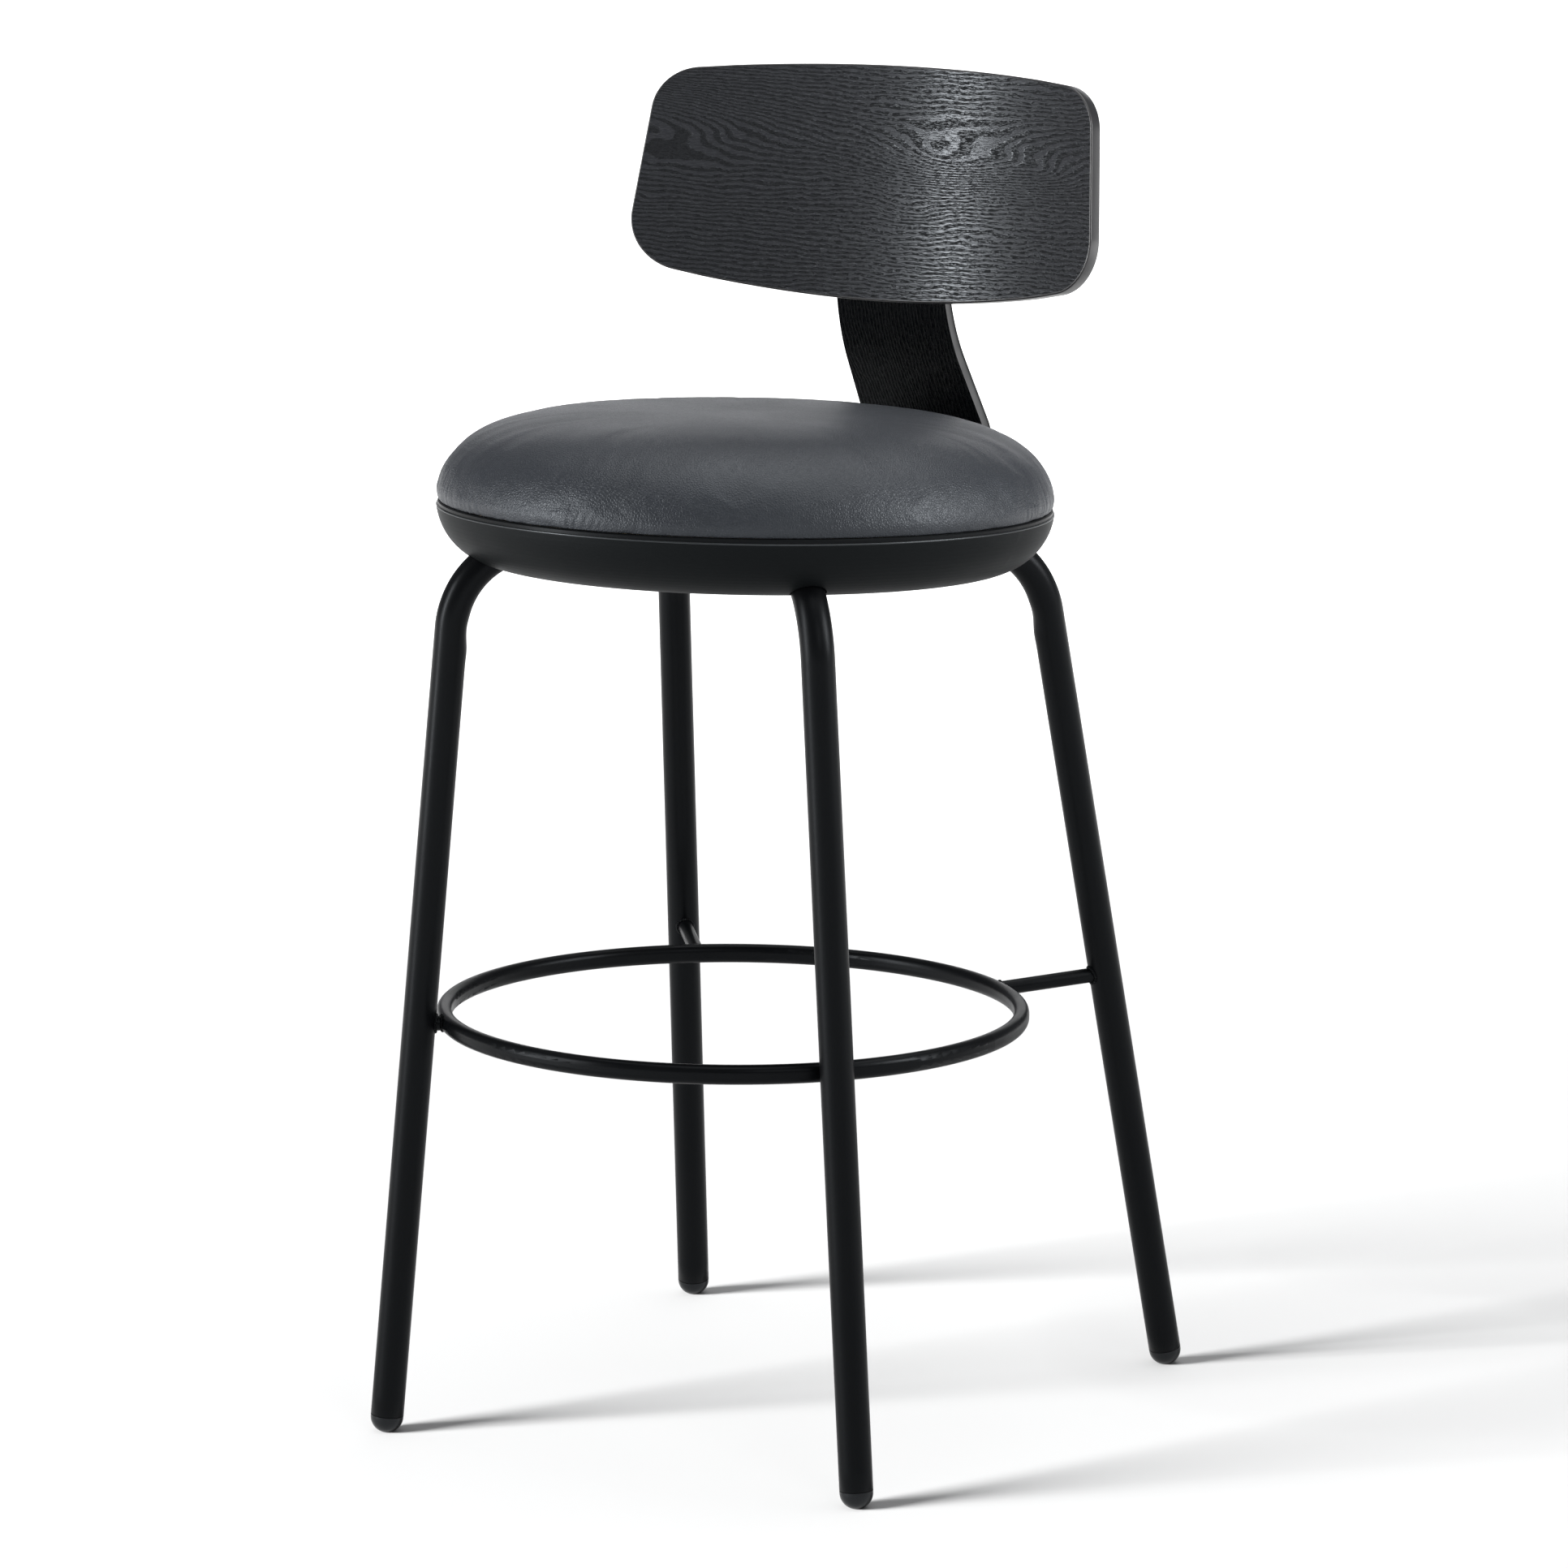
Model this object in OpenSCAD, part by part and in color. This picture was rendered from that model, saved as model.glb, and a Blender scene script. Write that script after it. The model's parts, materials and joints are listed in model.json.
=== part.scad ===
// Counter stool with a round upholstered seat, four bent tube legs, a foot ring and a bent wood back.
// +Z is up and the floor is Z = 0. The sitter faces -Y. X is sideways and the stool is symmetric about X = 0.
// The origin is on the floor under the middle of the stool's bounding box. Millimetres throughout.
// The seat is built flat in its own frame and then leaned back: see in_seat().

/* [Seat] */

// Outer diameter of the seat shell at its lip
seat_diameter = 409; // [340:1:480]
// Height of the shell lip above the floor at the seat centre
rim_height = 618; // [420:1:760]
// Backward lean of the seat, rear edge lower
seat_lean = 1.6; // [0:0.1:4]
// Height of the upholstery above the seat board at the middle
cushion_rise = 59; // [30:0.5:90]
// How far the cushion swells past the shell lip
cushion_swell = 0; // [0:0.5:6]
// Squareness of the cushion crown, higher is flatter
crown_power = 5.3; // [2:0.1:8]
// Thickness of the leather cover
cover_thickness = 1.6; // [0.8:0.1:3]
// Thickness of the plywood seat board
board_thickness = 12; // [9:0.5:18]
// Depth of the shell's rounded side below its lip
shell_depth = 38; // [30:0.5:60]
// Breadth of the shell's rounded side, from its lip in to its flat floor
shell_side = 41; // [30:0.5:60]
// Wall of the moulded shell
shell_wall = 2.5; // [1.5:0.1:5]

/* [Legs] */

// Outer diameter of the leg tube
tube_diameter = 22; // [16:0.5:32]
// Wall of the leg tube
tube_wall = 2; // [1:0.1:4]
// Centreline radius of the front leg bends
front_bend = 56; // [35:1:80]
// Centreline radius of the rear leg bends
rear_bend = 64; // [35:1:90]
// Leg bend position as a share of the seat radius, sideways, front
front_corner_x = 0.652; // [0.5:0.005:0.75]
// Leg bend position as a share of the seat radius, fore and aft, front
front_corner_y = 0.702; // [0.5:0.005:0.75]
// Leg bend position as a share of the seat radius, sideways, rear
rear_corner_x = 0.69; // [0.5:0.005:0.75]
// Leg bend position as a share of the seat radius, fore and aft, rear
rear_corner_y = 0.707; // [0.5:0.005:0.75]
// Outward run of a front foot past its bend, sideways
front_splay_x = 46; // [0:1:120]
// Outward run of a front foot past its bend, forward
front_splay_y = 19.5; // [0:1:120]
// Outward run of a rear foot past its bend, sideways
rear_splay_x = 48.5; // [0:1:120]
// Outward run of a rear foot past its bend, backward
rear_splay_y = 115.5; // [0:1:200]
// Radius of the flat at the bottom of each glide
glide_flat = 4; // [2:0.5:8]

/* [Foot ring] */

// Gap between the foot ring and each front leg, bridged by a short rod
ring_gap = 3.25; // [2:0.25:20]
// Height of the ring above the floor
ring_height = 279; // [150:1:400]
// Forward offset of the ring from the seat centre
ring_forward = 13.5; // [0:0.5:40]
// Radial thickness of the ring bar
ring_bar = 10.4; // [8:0.2:16]
// Height of the ring bar
ring_bar_height = 13; // [8:0.2:20]
// Diameter of the short rods that join the ring to the legs
stub_diameter = 10; // [6:0.5:14]
// Rise of a rear rod on its way out to the leg
stub_rise = 5; // [0:0.5:15]

/* [Back] */

// Thickness of the bent plywood spine
spine_thickness = 8.5; // [7:0.5:14]
// Thickness of the bent plywood back panel
panel_thickness = 12.5; // [9:0.5:14]
// Width of the spine at the seat
spine_width_low = 95; // [70:1:110]
// Width of the spine behind the back panel
spine_width_high = 82; // [60:1:110]
// Lean of the spine between the seat and the back panel
spine_lean = 33.5; // [15:0.5:40]
// How far behind the seat edge the leaning spine meets the plane of the seat board
spine_reach = 72; // [62:1:100]
// Height on the spine, above the seat board plane, where the upper bend starts
spine_rise = 89.5; // [78:0.5:160]
// Inside radius of the spine's lower bend
spine_hook_radius = 28; // [18:1:40]
// Front radius of the spine's upper bend
spine_upper_radius = 135; // [60:1:200]
// Backward tilt of the back panel
panel_tilt = 8.5; // [0:0.1:15]
// Inside radius of the back panel
panel_radius = 430; // [250:5:800]
// Width of the back panel at its lower corners
panel_width_low = 361; // [250:1:420]
// Width of the back panel at its upper corners
panel_width_high = 334; // [230:1:420]
// Height of the back panel at its middle
panel_height = 160; // [100:1:240]
// How far the panel hangs below the upper end of the spine's bend
panel_drop = 50; // [0:1:80]

/* [Hidden] */

$fn = 64;
tiny = 0.01;

black_metal = [0.09, 0.09, 0.095];
black_plastic = [0.13, 0.135, 0.14];
dark_leather = [0.22, 0.23, 0.25];
foam_yellow = [0.9, 0.86, 0.7];
birch = [0.78, 0.66, 0.48];
black_wood = [0.12, 0.12, 0.12];
zinc = [0.7, 0.71, 0.72];

left = -1;
right = 1;

// Clearances: fit_gap between mating curved faces, hole_gap round a screw, pass_gap where a leg passes the shell.
fit_gap = 0.3;
hole_gap = 0.3;
pass_gap = 1;

seat_radius = seat_diameter / 2;
tube_radius = tube_diameter / 2;
bore_radius = tube_radius - tube_wall;
cushion_radius = seat_radius + cushion_swell;

// Levels in the seat's own frame, measured from the lip plane.
lip_top = -1;
board_top = 2.6;
board_bottom = board_top - board_thickness;
plate_thickness = 3;
clamp_thickness = 3;
plate_bottom = board_bottom - plate_thickness;
run_level = plate_bottom - tube_radius;
floor_level = -max(shell_depth, tube_radius - run_level + shell_wall + pass_gap + fit_gap);
floor_dome = 4;
// The shell's rounded side is widest this far above the lip plane, so it already draws in at the lip.
shell_shoulder = 4;
board_radius = seat_radius - shell_wall - 3.5;
trim_inner = board_radius + 1.3;
trim_outer = seat_radius - 1.3;

// Screw sizes.
m6 = 3;
m6_head = 5.5;
m6_head_height = 3.3;
m5 = 2.5;
m5_head = 4.8;
m5_head_height = 2.8;
m4 = 2;
m4_head = 3.8;
m4_head_height = 2.4;
socket_share = 0.45;
socket_depth = 1.6;

tee_barrel = 3.9;
tee_flange = 9.5;
tee_flange_thickness = 1.2;
tee_length = 8.5;

hub_half = seat_radius / 3;
hub_corner = 12;
hub_bolt_reach = seat_radius * 0.245;
hub_window = 15;
run_end_reach = seat_radius * 0.205;

boss_radius = 7.5;
boss_well = 4.6;
boss_reach = seat_radius * 0.73;
// The rear pair of bosses clears the spine, and the front pair mirrors it.
boss_turn = acos((spine_width_low / 2 + boss_radius + 3.3) / boss_reach);
boss_angles = [boss_turn - 180, -boss_turn, 0, boss_turn, 180 - boss_turn, 180];
boss_seat = board_bottom - 6;

clamp_half_width = 38;
clamp_front = seat_radius * 0.4;
clamp_rear = seat_radius * 0.8;
clamp_bolt_x = 25;
clamp_bolt_ys = [seat_radius * 0.475, seat_radius * 0.73];
spine_run_front = seat_radius * 0.36;

insert_radius = 4;
insert_depth = 7;
panel_screw_x = 22;
panel_screw_zs = [28, 78];
spine_top = 100;

front_foot = [seat_radius * front_corner_x + front_splay_x, -seat_radius * front_corner_y - front_splay_y];
rear_foot = [seat_radius * rear_corner_x + rear_splay_x, seat_radius * rear_corner_y + rear_splay_y];
front_corner = [seat_radius * front_corner_x, -seat_radius * front_corner_y];
rear_corner = [seat_radius * rear_corner_x, seat_radius * rear_corner_y];
glide_centre = sqrt(tube_radius * tube_radius - glide_flat * glide_flat);
// The ring reaches out to the front legs, so its centreline radius follows from where they stand.
front_leg_point = leg_axis_at(front_foot, front_corner, right, ring_height);
ring_radius = norm([front_leg_point.x, front_leg_point.y + ring_forward])
    - tube_radius - ring_bar / 2 - ring_gap;

// The seat centre stands here so that the origin is in the middle of the stool's depth.
front_reach = max(ring_forward + ring_radius + ring_bar / 2, cushion_radius);
rear_reach = rear_foot.y + tube_radius;
seat_y = (front_reach - rear_reach) / 2;

module in_stool() {
    translate([0, seat_y, 0])
        children();
}

module in_seat() {
    translate([0, seat_y, rim_height])
        rotate([-seat_lean, 0, 0])
            children();
}

// A point of the seat's own frame, given in the stool's frame about the seat centre.
function seat_point(p) = [
    p.x,
    p.y * cos(seat_lean) + p.z * sin(seat_lean),
    rim_height - p.y * sin(seat_lean) + p.z * cos(seat_lean)
];

function unit(v) = v / norm(v);

// ---- Round bars and bent tubes ----

module bar(from, to, radius) {
    span = to - from;
    translate(from)
        rotate([0, acos(span.z / norm(span)), atan2(span.y, span.x)])
            cylinder(r = radius, h = norm(span));
}

// One bend of a round bar: from the start tangent along "inward" to the end tangent along "outward".
module bend(corner, inward, outward, bend_radius, radius) {
    turn = acos(inward * outward);
    setback = bend_radius * tan(turn / 2);
    start = corner - inward * setback;
    side = unit(outward - inward * (inward * outward));
    centre = start + side * bend_radius;
    axis = cross(-side, inward);
    multmatrix([
        [-side.x, inward.x, axis.x, centre.x],
        [-side.y, inward.y, axis.y, centre.y],
        [-side.z, inward.z, axis.z, centre.z],
        [0, 0, 0, 1]
    ])
        rotate_extrude(angle = turn)
            translate([bend_radius, 0])
                circle(r = radius);
}

function setback(inward, outward, bend_radius) = bend_radius * tan(acos(inward * outward) / 2);

// The tube draws down by this much in a bend, and the straight stretches lap the bend by "seam".
bend_thinning = 0.1;
seam = 0.05;

module bent_bar(foot, corner, end, bend_radius, radius, extra) {
    inward = unit(corner - foot);
    outward = unit(end - corner);
    cut = setback(inward, outward, bend_radius);
    bar(foot - inward * extra, corner - inward * (cut - seam), radius);
    bend(corner, inward, outward, bend_radius, radius - bend_thinning);
    bar(corner + outward * (cut - seam), end + outward * extra, radius);
}

// ---- Legs ----

function leg_foot(foot, side) = [side * foot.x, foot.y, glide_centre];
function leg_corner(corner, side) = seat_point([side * corner.x, corner.y, run_level]);
function leg_end(corner, side) = let (reach = unit([side * corner.x, corner.y]) * run_end_reach)
    seat_point([reach.x, reach.y, run_level]);

collar_height = 1.2;

module leg_sweep(foot, corner, side, bend_radius, radius, extra) {
    base = leg_foot(foot, side);
    top = leg_corner(corner, side);
    start = base + unit(top - base) * collar_height;
    bent_bar(start, top, leg_end(corner, side), bend_radius, radius, extra);
}

module leg(foot, corner, side, bend_radius) {
    color(black_metal)
        in_stool()
            difference() {
                leg_sweep(foot, corner, side, bend_radius, tube_radius, 0);
                leg_sweep(foot, corner, side, bend_radius, bore_radius, 1);
            }
}

module leg_front_left() {
    leg(front_foot, front_corner, left, front_bend);
}

module leg_front_right() {
    leg(front_foot, front_corner, right, front_bend);
}

module leg_rear_left() {
    leg(rear_foot, rear_corner, left, rear_bend);
}

module leg_rear_right() {
    leg(rear_foot, rear_corner, right, rear_bend);
}

// ---- Glides: a domed plug in the end of each leg ----

glide_stem_length = 18;

// Half section of a glide along its own axis: dome below, collar and stem above.
module glide_section() {
    intersection() {
        circle(r = tube_radius);
        translate([0, -tube_radius])
            square(tube_radius);
    }
    square([tube_radius, collar_height]);
    square([bore_radius - fit_gap, glide_stem_length]);
}

module glide(foot, corner, side) {
    base = leg_foot(foot, side);
    direction = unit(leg_corner(corner, side) - base);
    color(black_plastic)
        in_stool()
            difference() {
                translate(base)
                    rotate([0, acos(direction.z), atan2(direction.y, direction.x)])
                        rotate_extrude()
                            glide_section();
                translate([base.x - tube_diameter, base.y - tube_diameter, -tube_diameter])
                    cube([2 * tube_diameter, 2 * tube_diameter, tube_diameter]);
            }
}

module glide_front_left() {
    glide(front_foot, front_corner, left);
}

module glide_front_right() {
    glide(front_foot, front_corner, right);
}

module glide_rear_left() {
    glide(rear_foot, rear_corner, left);
}

module glide_rear_right() {
    glide(rear_foot, rear_corner, right);
}

// ---- Foot ring and the rods that weld it to the legs ----

ring_edge = ring_bar / 2;
ring_core = ring_bar_height - ring_bar;

module ring_section(grow) {
    for (level = [-ring_core / 2, ring_core / 2])
        translate([0, level])
            circle(r = ring_edge + grow);
    translate([-ring_edge - grow, -ring_core / 2])
        square([ring_bar + 2 * grow, ring_core]);
}

module ring_body(grow) {
    translate([0, -ring_forward, ring_height])
        rotate_extrude($fn = 360)
            translate([ring_radius, 0])
                ring_section(grow);
}

module foot_ring() {
    color(black_metal)
        in_stool()
            ring_body(0);
}

function leg_axis_at(foot, corner, side, height) = let (
    base = leg_foot(foot, side),
    top = leg_corner(corner, side)
) base + (top - base) * (height - base.z) / (top.z - base.z);

module ring_stub(foot, corner, side, rise) {
    hub = [0, -ring_forward, ring_height];
    leg_point = leg_axis_at(foot, corner, side, ring_height + rise);
    flat = unit([leg_point.x - hub.x, leg_point.y - hub.y, 0]);
    ring_point = hub + flat * ring_radius;
    base = leg_foot(foot, side);
    color(black_metal)
        in_stool()
            difference() {
                bar(ring_point, leg_point, stub_diameter / 2);
                ring_body(fit_gap / 2);
                bar(base, leg_corner(corner, side), tube_radius + fit_gap / 2);
            }
}

module ring_stub_front_left() {
    ring_stub(front_foot, front_corner, left, 0);
}

module ring_stub_front_right() {
    ring_stub(front_foot, front_corner, right, 0);
}

module ring_stub_rear_left() {
    ring_stub(rear_foot, rear_corner, left, stub_rise);
}

module ring_stub_rear_right() {
    ring_stub(rear_foot, rear_corner, right, stub_rise);
}

// ---- Upholstery ----

crown_steps = 28;

// Half section of the crown, from the middle out to the edge. "inset" shrinks it for the foam.
function crown(inset) = [
    for (i = [0:crown_steps])
        let (turn = 90 * i / crown_steps, share = pow(sin(turn), 2 / crown_power))
            [(cushion_radius - inset) * share, board_top + (cushion_rise - inset) * cos(turn)]
];

module crown_body(inset) {
    rotate_extrude($fn = 128)
        polygon(concat([[0, board_top]], crown(inset)));
}

module seat_cover() {
    color(dark_leather)
        in_seat()
            difference() {
                crown_body(0);
                translate([0, 0, -tiny])
                    crown_body(cover_thickness);
            }
}

module seat_foam() {
    color(foam_yellow)
        in_seat()
            crown_body(cover_thickness + fit_gap);
}

// ---- Seat board and its tee nuts ----

module at_hub_bolts() {
    for (turn = [0:90:270])
        rotate([0, 0, turn])
            translate([hub_bolt_reach, 0, 0])
                children();
}

module at_clamp_bolts() {
    for (x = [-clamp_bolt_x, clamp_bolt_x], y = clamp_bolt_ys)
        translate([x, y, 0])
            children();
}

module at_bosses() {
    for (turn = boss_angles)
        rotate([0, 0, turn])
            translate([boss_reach, 0, 0])
                children();
}

module tee_nut_pocket() {
    translate([0, 0, board_top - tee_flange_thickness])
        cylinder(r = tee_flange + fit_gap, h = tee_flange_thickness + 1);
    translate([0, 0, board_bottom - 1])
        cylinder(r = tee_barrel + fit_gap, h = board_thickness + 2);
}

module seat_board() {
    color(birch)
        in_seat()
            difference() {
                translate([0, 0, board_bottom])
                    cylinder(r = board_radius, h = board_thickness);
                at_hub_bolts()
                    tee_nut_pocket();
                at_clamp_bolts()
                    tee_nut_pocket();
                at_bosses()
                    translate([0, 0, board_bottom - 1])
                        cylinder(r = m4 + hole_gap, h = board_thickness);
            }
}

module tee_nut() {
    difference() {
        union() {
            translate([0, 0, board_top - tee_flange_thickness])
                cylinder(r = tee_flange, h = tee_flange_thickness);
            translate([0, 0, board_top - tee_length])
                cylinder(r = tee_barrel, h = tee_length);
        }
        translate([0, 0, board_top - tee_length - 1])
            cylinder(r = m6 + hole_gap / 2, h = tee_length + 2);
    }
}

module board_tee_nuts() {
    color(zinc)
        in_seat() {
            at_hub_bolts()
                tee_nut();
            at_clamp_bolts()
                tee_nut();
        }
}

// ---- Trim ring in the gap between the shell and the cushion ----

trim_bottom = lip_top + 0.2;
trim_top = board_top - 0.3;
trim_chamfer = 0.8;

module trim_ring() {
    color(black_plastic)
        in_seat()
            rotate_extrude($fn = 128)
                polygon([
                    [trim_inner, trim_bottom],
                    [trim_outer, trim_bottom],
                    [trim_outer, trim_top - trim_chamfer],
                    [trim_outer - trim_chamfer, trim_top],
                    [trim_inner, trim_top]
                ]);
}

// ---- Moulded shell under the seat ----

shell_steps = 20;

// Half section of the shell, from the lip down its rounded side to the middle of its floor.
function shell_line(inset) = concat(
    [
        for (i = [0:shell_steps])
            let (turn = 90 * i / shell_steps)
                [
                    seat_radius - shell_side - inset * (1 - sin(turn)) + shell_side * cos(turn),
                    shell_shoulder + (floor_level + inset - shell_shoulder) * sin(turn)
                ]
    ],
    [[0, floor_level - floor_dome + inset]]
);

module shell_body(inset, top) {
    rotate_extrude($fn = 128)
        polygon(concat(shell_line(inset), [[0, top], [seat_radius - inset, top]]));
}

module boss() {
    translate([0, 0, floor_level - floor_dome / 2])
        cylinder(r = boss_radius, h = board_bottom - floor_level + floor_dome / 2);
}

module boss_hole() {
    translate([0, 0, floor_level - 2 * floor_dome])
        cylinder(r = boss_well, h = boss_seat - floor_level + 2 * floor_dome);
    translate([0, 0, boss_seat - 1])
        cylinder(r = m4 + hole_gap, h = board_bottom - boss_seat + 2);
}

slot_gap = 1.5;

module seat_shell() {
    color(black_plastic)
        difference() {
            in_seat()
                difference() {
                    union() {
                        difference() {
                            shell_body(0, shell_shoulder + 1);
                            shell_body(shell_wall, shell_shoulder + 2);
                        }
                        intersection() {
                            at_bosses()
                                boss();
                            shell_body(shell_wall / 2, shell_shoulder + 1);
                        }
                    }
                    at_bosses()
                        boss_hole();
                    translate([-seat_diameter, -seat_diameter, lip_top])
                        cube([2 * seat_diameter, 2 * seat_diameter, 10]);
                    translate([-spine_width_low / 2 - slot_gap, seat_radius / 2,
                               board_bottom - spine_thickness - slot_gap])
                        cube([spine_width_low + 2 * slot_gap, seat_radius, spine_thickness + 2 * slot_gap]);
                }
            in_stool()
                for (side = [left, right]) {
                    leg_sweep(front_foot, front_corner, side, front_bend, tube_radius + pass_gap, 0);
                    leg_sweep(rear_foot, rear_corner, side, rear_bend, tube_radius + pass_gap, 0);
                }
        }
}

// ---- Fasteners ----

// A round-head screw that points up. Its head hangs below "level" and has a socket in its underside.
module screw(level, radius, head, head_height, length) {
    difference() {
        union() {
            translate([0, 0, level - head_height])
                cylinder(r = head, h = head_height);
            translate([0, 0, level - tiny])
                cylinder(r = radius, h = length + tiny);
        }
        translate([0, 0, level - head_height - 1])
            cylinder(r = head * socket_share, h = socket_depth + 1, $fn = 6);
    }
}

module shell_screws() {
    color(zinc)
        in_seat()
            at_bosses()
                screw(boss_seat, m4, m4_head, m4_head_height, 14);
}

module hub_plate() {
    color(black_metal)
        in_seat()
            difference() {
                translate([0, 0, plate_bottom])
                    linear_extrude(plate_thickness)
                        union() {
                            square([2 * hub_half, 2 * (hub_half - hub_corner)], center = true);
                            square([2 * (hub_half - hub_corner), 2 * hub_half], center = true);
                            for (x = [-1, 1], y = [-1, 1])
                                translate([x * (hub_half - hub_corner), y * (hub_half - hub_corner)])
                                    circle(r = hub_corner);
                        }
                at_hub_bolts()
                    translate([0, 0, plate_bottom - 1])
                        cylinder(r = m6 + hole_gap, h = plate_thickness + 2);
                translate([0, 0, plate_bottom - 1])
                    cylinder(r = hub_window, h = plate_thickness + 2);
            }
}

module hub_bolts() {
    color(zinc)
        in_seat()
            at_hub_bolts()
                screw(plate_bottom, m6, m6_head, m6_head_height, plate_thickness + tee_length);
}

clamp_bottom = board_bottom - spine_thickness - clamp_thickness;

module spine_clamp_plate() {
    color(black_metal)
        in_seat()
            difference() {
                translate([-clamp_half_width, clamp_front, clamp_bottom])
                    cube([2 * clamp_half_width, clamp_rear - clamp_front, clamp_thickness]);
                at_clamp_bolts()
                    translate([0, 0, clamp_bottom - 1])
                        cylinder(r = m6 + hole_gap, h = clamp_thickness + 2);
            }
}

module spine_bolts() {
    color(zinc)
        in_seat()
            at_clamp_bolts()
                screw(clamp_bottom, m6, m6_head, m6_head_height, clamp_thickness + spine_thickness + tee_length);
}

// ---- Back spine: a bent plywood strip that runs under the board, hooks up and leans to the panel ----

// In the YZ plane. The turn of the hook is from the seat board plane up to the leaning part.
hook_turn = 90 + spine_lean + seat_lean;
hook_cut = spine_hook_radius * tan(hook_turn / 2);
upper_turn = spine_lean + panel_tilt;
knee = [0, seat_radius + spine_reach, board_bottom];
knee_point = seat_point(knee);
lean_direction = [0, -sin(spine_lean), cos(spine_lean)];
upper_start = knee_point + lean_direction * spine_rise / cos(spine_lean);
upper_centre = upper_start + spine_upper_radius * [0, cos(spine_lean), sin(spine_lean)];
panel_root = upper_centre - spine_upper_radius * [0, cos(panel_tilt), -sin(panel_tilt)];

module in_panel() {
    translate([0, seat_y, 0])
        translate(panel_root)
            rotate([-panel_tilt, 0, 0])
                children();
}

// A bend of the strip about an axis along X, at "centre", from angle "start" through "turn" (Y towards Z).
module strip_bend(centre, start, turn, inner, width) {
    translate(centre)
        rotate([start, 0, 0])
            multmatrix([
                [0, 0, 1, -width / 2],
                [1, 0, 0, 0],
                [0, 1, 0, 0],
                [0, 0, 0, 1]
            ])
                rotate_extrude(angle = turn, $fn = 96)
                    translate([inner, 0])
                        square([spine_thickness, width]);
}

module spine_strip(width) {
    hook_start = knee.y - hook_cut;
    lean_length = spine_rise / cos(spine_lean) - hook_cut;
    in_seat() {
        translate([-width / 2, spine_run_front, board_bottom - spine_thickness])
            cube([width, hook_start - spine_run_front + seam, spine_thickness]);
        strip_bend([0, hook_start, board_bottom + spine_hook_radius], -90, hook_turn,
                   spine_hook_radius, width);
    }
    in_stool() {
        translate(knee_point)
            rotate([spine_lean, 0, 0])
                translate([-width / 2, 0, hook_cut - seam])
                    cube([width, spine_thickness, lean_length + 2 * seam]);
        strip_bend(upper_centre, 180 - panel_tilt, upper_turn, spine_upper_radius - spine_thickness, width);
    }
    in_panel()
        translate([-width / 2, 0, -seam])
            cube([width, spine_thickness, spine_top + seam]);
}

// Front outline of the spine, wide at the seat and narrow at the panel, with rounded top corners.
spine_corner = 14;

module spine_outline() {
    low = rim_height - 2 * spine_thickness - shell_depth;
    waist = panel_root.z - panel_drop;
    high = panel_root.z + spine_top * cos(panel_tilt);
    wide = spine_width_low / 2;
    narrow = spine_width_high / 2;
    polygon(concat(
        [[-narrow, waist], [-wide, knee_point.z], [-wide, low], [wide, low],
         [wide, knee_point.z], [narrow, waist]],
        [for (turn = [0:15:90]) [narrow - spine_corner + spine_corner * cos(turn),
                                 high - spine_corner + spine_corner * sin(turn)]],
        [for (turn = [90:15:180]) [-narrow + spine_corner + spine_corner * cos(turn),
                                   high - spine_corner + spine_corner * sin(turn)]]
    ));
}

module back_spine() {
    color(black_wood)
        difference() {
            intersection() {
                spine_strip(spine_width_low);
                translate([0, seat_diameter, 0])
                    rotate([90, 0, 0])
                        linear_extrude(2 * seat_diameter)
                            spine_outline();
            }
            in_seat()
                at_clamp_bolts()
                    translate([0, 0, board_bottom - spine_thickness - 1])
                        cylinder(r = m6 + hole_gap, h = spine_thickness + 2);
            in_panel() {
                at_panel_screws()
                    translate([0, 0, -1])
                        cylinder(r = m5 + hole_gap, h = spine_thickness + 2);
                translate([0, panel_scoop - panel_radius - panel_thickness, -panel_drop - 1])
                    cylinder(r = panel_radius + panel_thickness + fit_gap, h = panel_height * 2, $fn = 256);
            }
        }
}

// ---- Back panel ----

// The panel sits this far into the spine's hollowed front face.
panel_scoop = 3;
panel_low_arch = 17;
panel_high_arch = 12;
panel_low_corner = 35;
panel_high_corner = 33;
arch_steps = 6;

// A row of points that rounds the corner "here" between the neighbours "before" and "after".
function rounded(before, here, after, radius) = let (
    back = unit(before - here),
    ahead = unit(after - here),
    half = acos(back * ahead) / 2,
    centre = here + unit(back + ahead) * radius / sin(half),
    start = here + back * radius / tan(half) - centre,
    sweep = 180 - 2 * half
) [for (i = [0:8]) let (turn = sweep * i / 8)
    centre + [start.x * cos(turn) - start.y * sin(turn), start.x * sin(turn) + start.y * cos(turn)]];

// Right half of an arched edge at half widths up to "reach", rising by "arch" at the full half width "wide".
function arch_points(level, arch, wide, reach) = [
    for (i = [0:arch_steps]) let (x = reach * i / arch_steps) [x, level + arch * pow(x / wide, 2)]
];

function mirrored(points) = [for (i = [len(points) - 1:-1:0]) [-points[i].x, points[i].y]];

module panel_outline() {
    low = -panel_drop;
    high = panel_height - panel_drop;
    wide = panel_width_low / 2;
    narrow = panel_width_high / 2;
    low_points = arch_points(low, panel_low_arch, wide, wide - 1.5 * panel_low_corner);
    high_points = arch_points(high, -panel_high_arch, narrow, narrow - 1.5 * panel_high_corner);
    low_last = low_points[arch_steps];
    high_last = high_points[arch_steps];
    low_corner = [wide, low + panel_low_arch];
    high_corner = [narrow, high - panel_high_arch];
    right_side = concat(
        low_points,
        rounded(low_last, low_corner, high_corner, panel_low_corner),
        rounded(low_corner, high_corner, high_last, panel_high_corner),
        [for (i = [arch_steps:-1:0]) high_points[i]]
    );
    polygon(concat(right_side, mirrored([for (i = [1:len(right_side) - 2]) right_side[i]])));
}

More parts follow.
